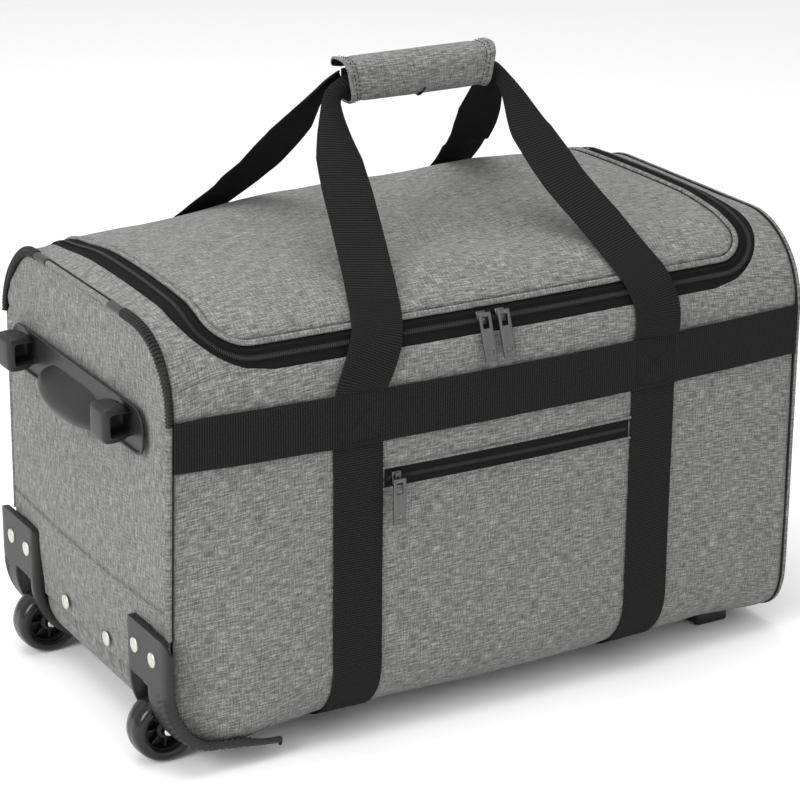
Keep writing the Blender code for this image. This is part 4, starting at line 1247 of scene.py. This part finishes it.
def pull_tab(name, body, node, lean):
    """A flat tab with a square window at the top and a small slot at its foot."""
    low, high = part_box(node)
    pivot = Vector(((low.x + high.x) / 2, 0, 0))
    half = (high.x - low.x) / 2
    bm = bmesh.new()
    across = [-half, -0.0027, 0.0027, half]
    down = [0.0, -0.0034, -0.0120, -0.0155, -0.0285, -0.0315, -TAB_LENGTH]
    bmesh.ops.create_grid(bm, x_segments=3, y_segments=6, size=0.5)
    for vert in bm.verts:
        i, j = round((vert.co.x + 0.5) * 3), round((0.5 - vert.co.y) * 6)
        vert.co = Vector((across[i], 0, down[j]))
    windows = []
    for face in bm.faces:
        x, _, z = face.calc_center_median()
        if abs(x) < 0.001 and (-0.012 < z < -0.0034 or -0.0315 < z < -0.0285):
            windows.append(face)
    bmesh.ops.delete(bm, geom=windows, context="FACES")
    bmesh.ops.rotate(bm, verts=bm.verts, cent=(0, 0, 0), matrix=Matrix.Rotation(-lean, 3, "X"))
    spot = frame_point(node, lean)
    bmesh.ops.translate(bm, verts=bm.verts, vec=Vector((pivot.x, spot.y, spot.z)))
    made = make_piece(name, bm, body, "gunmetal", GUNMETAL, replaces=[node], smooth=35)
    thicken(made, 0.0016, 0.0)
    round_edges(made, 0.0005, 3, 40)
    return made


def frame_point(node, lean):
    """Middle of the thickness at the top of a tab in the frame."""
    low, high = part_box(node)
    y = high.y - TAB_THICK * math.cos(lean) / 2
    return Vector(((low.x + high.x) / 2, y, high.z - TAB_THICK * math.sin(lean) / 2))


def slider(name, body, node, normal):
    """A zip slider: a waisted body with side flanges and a raised bridge."""
    low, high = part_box(node)
    middle = (low + high) / 2
    down = Vector((1, 0, 0)).cross(normal)
    down = down if down.z < 0 else -down
    turn = Matrix((Vector((1, 0, 0)), down, normal)).transposed().to_4x4()
    if turn.determinant() < 0:
        turn = Matrix((Vector((-1, 0, 0)), down, normal)).transposed().to_4x4()
    bm = bmesh.new()
    box_between(bm, (-0.0040, -0.0052, -0.0019), (0.0040, 0.0046, 0.0004))
    box_between(bm, (-0.0017, -0.0044, 0.0002), (0.0017, 0.0030, 0.0020))
    for vert in bm.verts:
        if vert.co.y > 0 and abs(vert.co.x) > 0.003:
            vert.co.x *= 0.80
    bmesh.ops.transform(bm, matrix=Matrix.Translation(middle) @ turn, verts=bm.verts)
    bmesh.ops.recalc_face_normals(bm, faces=bm.faces)
    made = make_piece(name, bm, body, "gunmetal", GUNMETAL, replaces=[node], smooth=35)
    round_edges(made, 0.0007, 3, 35)


def pullers():
    """Sliders and tabs of the main zip and the pocket zip."""
    for side in ("left", "right"):
        lean = math.radians(20)
        low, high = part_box("zip_slider_" + side)
        x = (low.x + high.x) / 2
        slider("slider_" + side + "_body", "slider_" + side, "zip_slider_" + side,
               skin_normal(x, bow(x, ZIP_FRONT)))
        pull_tab("tab_" + side + "_plate", "tab_" + side, "zip_tab_" + side, lean)
    slider("pocket_slider_body", "pocket_slider", "pocket_slider", Vector((0, -1, 0)))
    pull_tab("pocket_tab_plate", "pocket_tab", "pocket_tab", 0.0)


def pocket():
    """Pocket zip with its teeth, the cloth lips beside it, and the pouch behind."""

    def tape(u, v):
        x = mix(-0.106, 0.106, v)
        run = run_to_height(x, POCKET_Z + mix(-0.008, 0.008, u))
        return skin(x, run, 0.0003 - 0.0002 * math.sin(u * math.pi))

    bm = cloth_grid(lambda u, v: (tape(u, v), (u * 0.016, v * 0.212)), 8, 80)
    made = make_piece("pocket_tape", bm, "root", "zip_tape", TAPE, replaces=["pocket_zip_tape"], smooth=50)
    thicken(made, 0.0008, 1.0)
    bm = bmesh.new()
    shapes = []
    for i in range(int(2 * POCKET_HALF / TOOTH_PITCH)):
        for side in (-1, 1):
            x = -POCKET_HALF + (i + 0.25 * (1 + side)) * TOOTH_PITCH
            middle = skin(x, run_to_height(x, POCKET_Z + side * 0.0007), 0.0015)
            shapes.append(Matrix.Translation(middle) @ Matrix.Diagonal((0.00045, 0.0005, 0.0013, 1.0)))
    scattered(bm, shapes)
    make_piece("pocket_teeth", bm, "root", "zip_tape", COIL, smooth=60)
    for name, z in (("upper", 0.2182), ("lower", 0.2018)):
        line = [skin(x, run_to_height(x, z), 0.0008) for x in steps(-0.108, 0.108, 60)]
        bm = swept_tube(line, 0.0011, 8, across=Vector((0, 0, 1)))
        make_piece("pocket_lip_" + name, bm, "root", "grey_fabric", CORD_FABRIC, smooth=60)

    def pouch(u, v):
        x = mix(-POCKET_HALF, POCKET_HALF, u)
        return Vector((x, -0.1555 + 0.004 * math.sin(u * math.pi), mix(0.078, 0.216, v)))

    bm = cloth_grid(lambda u, v: (pouch(u, v), (u * 0.208, v * 0.138)), 30, 24)
    made = make_piece("pocket_pouch", bm, "root", "zip_tape", LINING, smooth=60)
    thicken(made, 0.0006)


# Hard parts


def wheels():
    """Tyres, eight-spoked hubs and axle pins."""
    for name, side in (("front", -1), ("back", 1)):
        body = "wheel_" + name
        centre = Vector((WHEEL_X, side * WHEEL_Y, WHEEL_RADIUS))
        half = [(0.0172, 0.0098), (0.0190, 0.0110), (0.0218, 0.0114), (0.0238, 0.0104), (0.0250, 0.0082)]
        half += [(0.0257, 0.0046), (0.0259, 0.0020), (0.0257, 0.0010), (0.0260, 0.0)]
        outline = half + [(radius, -run) for radius, run in reversed(half[:-1])] + [half[0]]
        bm = turned(bmesh.new(), outline, centre, 64)
        make_piece("tyre_" + name + "_moulded", bm, body, "tyre_rubber", TYRE,
                   replaces=["tyre_" + name], smooth=50)
        rim = [(0.0148, 0.0050), (0.0156, 0.0082), (0.0166, 0.0088), (0.0178, 0.0086), (0.0178, -0.0086)]
        rim += [(0.0166, -0.0088), (0.0156, -0.0082), (0.0148, -0.0050), (0.0148, 0.0050)]
        bm = turned(bmesh.new(), rim, centre, 48)
        boss = [(0.0045, 0.0090), (0.0066, 0.0086), (0.0074, 0.0076), (0.0078, -0.0076), (0.0066, -0.0086)]
        boss += [(0.0045, -0.0090), (0.0045, 0.0090)]
        bm = turned(bm, boss, centre, 32)
        for i in range(8):
            verts = box_between(bm, (-0.0009, -0.0056, 0.0070), (0.0009, 0.0056, 0.0152))
            spoke_turn = Matrix.Rotation(i * math.tau / 8, 3, "Y")
            bmesh.ops.rotate(bm, verts=verts, cent=(0, 0, 0), matrix=spoke_turn)
            bmesh.ops.translate(bm, verts=verts, vec=centre)
        web = [(0.0072, 0.0012), (0.0152, 0.0012), (0.0152, -0.0012), (0.0072, -0.0012), (0.0072, 0.0012)]
        turned(bm, web, centre, 32)
        made = make_piece("hub_" + name + "_spoked", bm, body, "dark_plastic", HUB_AND_GROOVE_SHADE,
                          replaces=["hub_" + name], smooth=40)
        round_edges(made, 0.0003, 2, 50)
        bm = bmesh.new()
        reach = 0.0132
        pin = [(0.0, -reach), (0.0030, -reach), (0.0036, -reach + 0.0006), (0.0036, reach - 0.0006)]
        pin += [(0.0030, reach), (0.0, reach)]
        turned(bm, pin, centre, 24)
        make_piece("axle_" + name + "_pin", bm, "root", "nickel", STEEL, replaces=["axle_" + name], smooth=35)


def rivet(name, node, seat):
    """Domed rivet head with a rolled rim, facing the wheel end from its seat."""
    low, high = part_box(node)
    centre = Vector((seat, (low.y + high.y) / 2, (low.z + high.z) / 2))
    dome = [(0.0, 0.0019), (0.0020, 0.0018), (0.0038, 0.0014), (0.0049, 0.0009), (0.0054, 0.0010)]
    dome += [(0.0058, 0.0006), (0.0058, 0.0), (0.0, 0.0)]
    bm = turned(bmesh.new(), dome, centre, 28, Vector((-1, 0, 0)))
    make_piece(name, bm, "root", "nickel", NICKEL, replaces=[node], smooth=50)


def hard_parts():
    """Rivets, glides and trolley parts with rounded edges, and the finishes of the tubes and base board."""
    for end in ("front", "back"):
        refined("glide_" + end + "_foot", "glide_" + end, "root", "dark_plastic", PLASTIC, 0.0010)
        for place in ("inner", "outer"):
            rivet("rivet_" + end + "_" + place, "housing_rivet_" + end + "_" + place, -0.2800)
        rivet("rivet_base_" + end, "base_rivet_" + end, -0.2745)
    refined("trolley_bezel_moulded", "trolley_bezel", "root", "dark_plastic", PLASTIC, 0.0012)
    refined("tube_bracket_moulded", "tube_bracket", "root", "dark_plastic", PLASTIC, 0.0012)
    refined("trolley_grip_moulded", "trolley_grip", "trolley_inner", "dark_plastic", PLASTIC, 0.0030, 4)
    refined("release_button_moulded", "release_button", "trolley_button", "dark_plastic", RIM_PLASTIC,
            0.0010)
    for stage in ("outer", "middle", "inner"):
        for end in ("front", "back"):
            recoat("trolley_" + stage + "_tube_" + end, ALUMINIUM)
    recoat("base_board", BOARD)


def recoat(node, used):
    """Gives a part of the frame its finish."""
    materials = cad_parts[node].data.materials
    materials.clear()
    materials.append(used)


# Wheel housings
PLATE_X = -0.2800
PLATE_TOP = 0.112
NOTCH_TOP = 0.0690
NOTCH_INNER = 0.0948
NOTCH_OUTER = 0.1225
BEND_Z = 0.066
# Across a housing, inner flange to outer: distance from the middle plane, depth of fold
HOUSING_SECTION = ((0.0868, 0.0100), (0.0868, 0.0050), (0.0872, 0.0018), (0.0888, 0.0004), (0.0915, 0.0),
                   (NOTCH_INNER, 0.0), (0.1085, 0.0), (NOTCH_OUTER, 0.0), (0.1270, 0.0), (0.1315, 0.0),
                   (0.1340, 0.0), (0.1360, 0.0), (0.1380, 0.0), (0.1400, 0.0), (0.1420, 0.0), (0.1440, 0.0),
                   (0.1460, 0.0001), (0.1480, 0.0004), (0.1500, 0.0009), (0.1518, 0.0017),
                   (0.1536, 0.0030), (0.1547, 0.0052), (0.1550, 0.0095))


def curve_points(centre_x, half_x, half_z, tail):
    """(x, z) down a housing's plate, round its bend and along its tail, in 230 equal steps."""
    path = [Vector((PLATE_X, 0, PLATE_TOP)), Vector((PLATE_X, 0, BEND_Z))]
    for angle in steps(0, math.pi / 2, 40)[1:]:
        path.append(Vector((centre_x - half_x * math.cos(angle), 0, BEND_Z - half_z * math.sin(angle))))
    path += [Vector((x, 0, z)) for x, z in tail]
    whole = sum((b - a).length for a, b in zip(path, path[1:]))
    return resampled(path, whole / 230.5)[:230], whole


def housing_point(shell, rim, at, u, whole, side):
    place = u * (len(HOUSING_SECTION) - 1)
    i = min(int(place), len(HOUSING_SECTION) - 2)
    out = mix(HOUSING_SECTION[i][0], HOUSING_SECTION[i + 1][0], place - i)
    depth = mix(HOUSING_SECTION[i][1], HOUSING_SECTION[i + 1][1], place - i)
    corner = 0.010 * (1 - math.sqrt(1 - min(1.0, max(0.0, (out - 0.1455) / 0.0101)) ** 2))
    corner += 0.004 * (1 - math.sqrt(1 - min(1.0, max(0.0, (0.0910 - out) / 0.0043)) ** 2))
    last = len(rim) - 1
    spot = max(0.0, at - 4) * last / (last - 4)
    shift = corner / whole * last * (1 - spot / last)
    spot = min(last, spot + shift)
    low = min(int(spot), last - 1)
    blend = smoothstep((out - 0.1300) / 0.0150)

    def read(points):
        point = points[low].lerp(points[low + 1], spot - low)
        forward = (points[min(last, low + 2)] - points[max(0, low - 1)]).normalized()
        return point, Vector((forward.z, 0, -forward.x))

    (inner, first), (outer, second) = read(shell), read(rim)
    point, normal = inner.lerp(outer, blend), first.lerp(second, blend).normalized()
    along = spot / last * whole
    slant = along + 0.55 * (out - 0.150)
    ribbed = smoothstep((out - 0.1370) / 0.0040) * smoothstep((along - 0.040) / 0.010)
    ribbed *= 1 - smoothstep((along - 0.140) / 0.010)
    rib = -0.0014 * ribbed * (1 - smoothstep(abs(math.sin(math.pi * slant / 0.0050)) / 0.75))
    thin = mix(0.62, 1.0, smoothstep((along - 0.035) / 0.040)) if out > 0.12 else 1.0
    thin *= mix(1.0, 0.66, smoothstep((along - 0.135) / 0.025))
    top = (0.0085, 0.0030, 0.0008, 0.0)[int(min(3, at))] * (1 - smoothstep((out - 0.1460) / 0.0060))
    out = mix(out, 0.1510, 0.5 * smoothstep((along - 0.140) / 0.030)) if out > 0.144 else out
    return point + normal * (rib - (depth + top) * thin) + Vector((0, side * out, 0)), along, rib


def spot_key(point):
    return tuple(round(value, 4) for value in point)


def wheel_housings():
    """Moulded corner shells with a window for the wheel, and a ribbed rim that ends in a skid; the rib
    grooves take the darker hub material as painted shade.
    """
    shell, _ = curve_points(-0.2290, 0.0510, 0.0555, [(-0.2000, 0.0100), (-0.1850, 0.0100)])
    rim, whole = curve_points(-0.2380, 0.0420, 0.0490, [(-0.2130, 0.0135), (-0.1860, 0.0105)])
    for name, side in (("front", -1), ("back", 1)):
        rows = len(rim) + 3
        columns = len(HOUSING_SECTION) - 1
        groove_shade_spots = set()

        def place(u, v, side=side):
            point, distance, rib = housing_point(shell, rim, round(v * rows), u, whole, side)
            if rib < -0.0005:
                groove_shade_spots.add(spot_key(point))
            return point, (u * 0.09, distance)

        bm = cloth_grid(place, columns, rows, centre=Vector((-0.225, side * 0.122, 0.080)))
        cut = []
        for face in bm.faces:
            middle = face.calc_center_median()
            out = abs(middle.y)
            window = NOTCH_INNER < out < NOTCH_OUTER and middle.z < NOTCH_TOP
            beyond = out < 0.1455 and middle.x > -0.2235
            if window or beyond:
                cut.append(face)
            # Painted shade: faces in the rib grooves take the darker hub material.
            if sum(spot_key(vert.co) in groove_shade_spots for vert in face.verts) > 2:
                face.material_index = 1
        bmesh.ops.delete(bm, geom=cut, context="FACES")
        made = make_piece("wheel_housing_" + name + "_shell", bm, "root", "dark_plastic", PLASTIC, HUB_AND_GROOVE_SHADE,
                          replaces=["wheel_housing_" + name], smooth=50)
        thicken(made, 0.0022)
        well = [(-0.2793, 0.0700), (-0.2600, 0.0660), (-0.2440, 0.0580), (-0.2320, 0.0460), (-0.2260, 0.0300),
                (-0.2240, 0.0112)]
        back = [(-0.2420, 0.0140), (-0.2560, 0.0210), (-0.2680, 0.0320), (-0.2755, 0.0450), (-0.2788, 0.0580)]
        bm = bmesh.new()
        walls = []
        for out in (NOTCH_INNER, NOTCH_OUTER):
            walls.append([bm.verts.new((x, side * out, z)) for x, z in well + back])
            bm.faces.new(walls[-1])
        for i in range(len(well) - 1):
            bm.faces.new((walls[0][i], walls[0][i + 1], walls[1][i + 1], walls[1][i]))
        made = make_piece("wheel_well_" + name, bm, "root", "dark_plastic", HUB_AND_GROOVE_SHADE, smooth=30)
        thicken(made, 0.0010, 0.0)


def stand():
    """Moulded stand on the wheel end: rimmed plate, lift scoop, and two feet hollowed towards the front."""
    bm = bmesh.new()
    outline = []
    for y, z, radius, start in ((-1, 1, 0.016, 0.0), (-1, -1, 0.013, -90.0), (1, -1, 0.013, -180.0),
                                (1, 1, 0.016, -270.0)):
        for turn in steps(0, 90, 8):
            angle = math.radians(start - turn + 90)
            middle_y = y * (0.1190 - radius)
            middle_z = (0.2775 if z > 0 else 0.2415) - z * radius
            outline.append((middle_y - radius * math.cos(angle), middle_z + radius * math.sin(angle)))
    verts = [bm.verts.new((-0.2752, y, z)) for y, z in outline]
    front = bm.faces.new(verts)
    front.normal_update()
    if front.normal.x > 0:
        front.normal_flip()
    made = bmesh.ops.extrude_face_region(bm, geom=[front], use_keep_orig=True)
    moved = [part for part in made["geom"] if isinstance(part, bmesh.types.BMVert)]
    bmesh.ops.translate(bm, verts=moved, vec=(-0.0018, 0, 0))
    bm.faces.ensure_lookup_table()
    top = max((f for f in bm.faces if len(f.verts) > 8), key=lambda f: -f.calc_center_median().x)
    bmesh.ops.inset_region(bm, faces=[top], thickness=0.0019)
    bmesh.ops.inset_region(bm, faces=[top], thickness=0.0008, depth=-0.0016)
    bmesh.ops.recalc_face_normals(bm, faces=bm.faces)
    made = make_piece("stand_plate", bm, "root", "dark_plastic", PLASTIC,
                      replaces=["upright_stand"], smooth=35)
    round_edges(made, 0.0006, 2, 40)

    def scoop(u, v):
        across = mix(-1.0, 1.0, u)
        fall = max(0.0, 1 - abs(across) ** 3.0) ** 0.6
        shape = [(0.0, 0.0), (0.12, 0.10), (0.35, 0.50), (0.60, 0.86), (0.78, 1.0), (0.90, 0.96),
                 (0.96, 0.72), (1.0, 0.25)]
        stand_off = 0.0150 * through(shape, v) * fall
        low = mix(0.2320, 0.2440, abs(across) ** 2.5)
        half = mix(0.036, 0.062, smoothstep(v * 1.2))
        return Vector((-0.2738 - stand_off, 0.006 + half * across, mix(0.2680, low, v))), (u, v)

    bm = cloth_grid(scoop, 40, 28, centre=Vector((0, 0, 0.25)))
    for _ in range(3):
        inner = [v for v in bm.verts if not v.is_boundary]
        bmesh.ops.smooth_vert(bm, verts=inner, factor=0.5, use_axis_x=True, use_axis_y=True, use_axis_z=True)
    made = make_piece("stand_scoop", bm, "root", "dark_plastic", PLASTIC, smooth=60)
    thicken(made, 0.0025)
    for name, side in (("front", -1), ("back", 1)):
        bm = bmesh.new()
        box_between(bm, (-0.2985, side * 0.0870 - 0.0135, 0.2485), (-0.2735, side * 0.0870 + 0.0135, 0.2768))
        far = [e for e in bm.edges if all(v.co.x < -0.28 for v in e.verts)]
        near = [e for e in bm.edges if e not in far and abs(e.verts[0].co.x - e.verts[1].co.x) > 0.01]
        bmesh.ops.bevel(bm, geom=far + near, offset=0.0050, segments=3, profile=0.5, affect="EDGES",
                        material=-1)
        open_side = min(bm.faces, key=lambda f: f.normal.y - f.calc_area() * 900)
        bmesh.ops.subdivide_edges(bm, edges=list(open_side.edges), cuts=3)
        open_side = min(bm.faces, key=lambda f: f.normal.y - f.calc_area() * 900)
        bmesh.ops.inset_region(bm, faces=[open_side], thickness=0.0006)
        bmesh.ops.inset_region(bm, faces=[open_side], thickness=0.0006, depth=-0.0016)
        bmesh.ops.inset_region(bm, faces=[open_side], thickness=0.0010, depth=-0.0120)
        bmesh.ops.inset_region(bm, faces=[open_side], thickness=0.0020, depth=-0.0020)
        made = make_piece("stand_foot_" + name, bm, "root", "dark_plastic", PLASTIC, smooth=60)
        soften(made, 2)


# Room, light and camera


def studio():
    """Pale floor, white surroundings and three soft lights."""
    bm = bmesh.new()
    bmesh.ops.create_grid(bm, x_segments=1, y_segments=1, size=6.0)
    mesh = bpy.data.meshes.new("floor")
    bm.to_mesh(mesh)
    bm.free()
    floor = bpy.data.objects.new("floor", mesh)
    bpy.context.scene.collection.objects.link(floor)
    made, _, shader = new_material("pale_floor", 0.9)
    shader.inputs["Base Color"].default_value = (0.97, 0.97, 0.97, 1.0)
    mesh.materials.append(made)
    bpy.context.scene.view_settings.view_transform = "Standard"
    world = bpy.data.worlds.new("studio")
    bpy.context.scene.world = world
    world.use_nodes = True
    world.node_tree.nodes["Background"].inputs["Color"].default_value = (1.0, 1.0, 1.0, 1.0)
    world.node_tree.nodes["Background"].inputs["Strength"].default_value = 0.72
    lights = (
        ("key", (-2.3, -0.7, 1.5), 1.5, 44.0),
        ("top", (-0.2, 0.1, 2.3), 2.2, 34.0),
        ("front_fill", (0.8, -2.5, 1.2), 2.0, 8.0),
    )
    for name, where, size, power in lights:
        data = bpy.data.lights.new(name, "AREA")
        data.shape = "DISK"
        data.size = size
        data.energy = power
        lamp = bpy.data.objects.new(name, data)
        lamp.location = where
        lamp.rotation_euler = (Vector((0, 0, 0.2)) - Vector(where)).to_track_quat("-Z", "Y").to_euler()
        bpy.context.scene.collection.objects.link(lamp)


def camera():
    """A long lens, looking down at the front and the wheel end."""
    azimuth, elevation, roll = 0.52242, 0.35298, 0.00543
    across, rise, distance = -0.000968, -0.186649, 2.280694
    right = Vector((math.cos(azimuth), -math.sin(azimuth), 0))
    level = Vector((math.sin(azimuth), math.cos(azimuth), 0))
    up = level * math.sin(elevation) + Vector((0, 0, math.cos(elevation)))
    forward = level * math.cos(elevation) - Vector((0, 0, math.sin(elevation)))
    right, up = right * math.cos(roll) + up * math.sin(roll), up * math.cos(roll) - right * math.sin(roll)
    data = bpy.data.cameras.new("camera")
    data.sensor_width = 36.0
    data.lens = 125.9721
    data.clip_end = 50.0
    made = bpy.data.objects.new("camera", data)
    turn = Matrix((right, up, -forward)).transposed().to_4x4()
    place = -(right * across + up * rise + forward * distance)
    made.matrix_world = Matrix.Translation(place) @ turn
    bpy.context.scene.collection.objects.link(made)
    bpy.context.scene.camera = made


camera()
studio()
body_cloth()
lid_cloth()
lid_fold()
main_zip()
lid_hinge()
wheel_end_cloth()
handle_end_cloth()
piping()
corner_guards()
bands()
straps()
handles()
grip_wrap()
crossing_stitches()
end_strap()
pullers()
pocket()
wheels()
hard_parts()
wheel_housings()
stand()

bpy.context.view_layer.update()
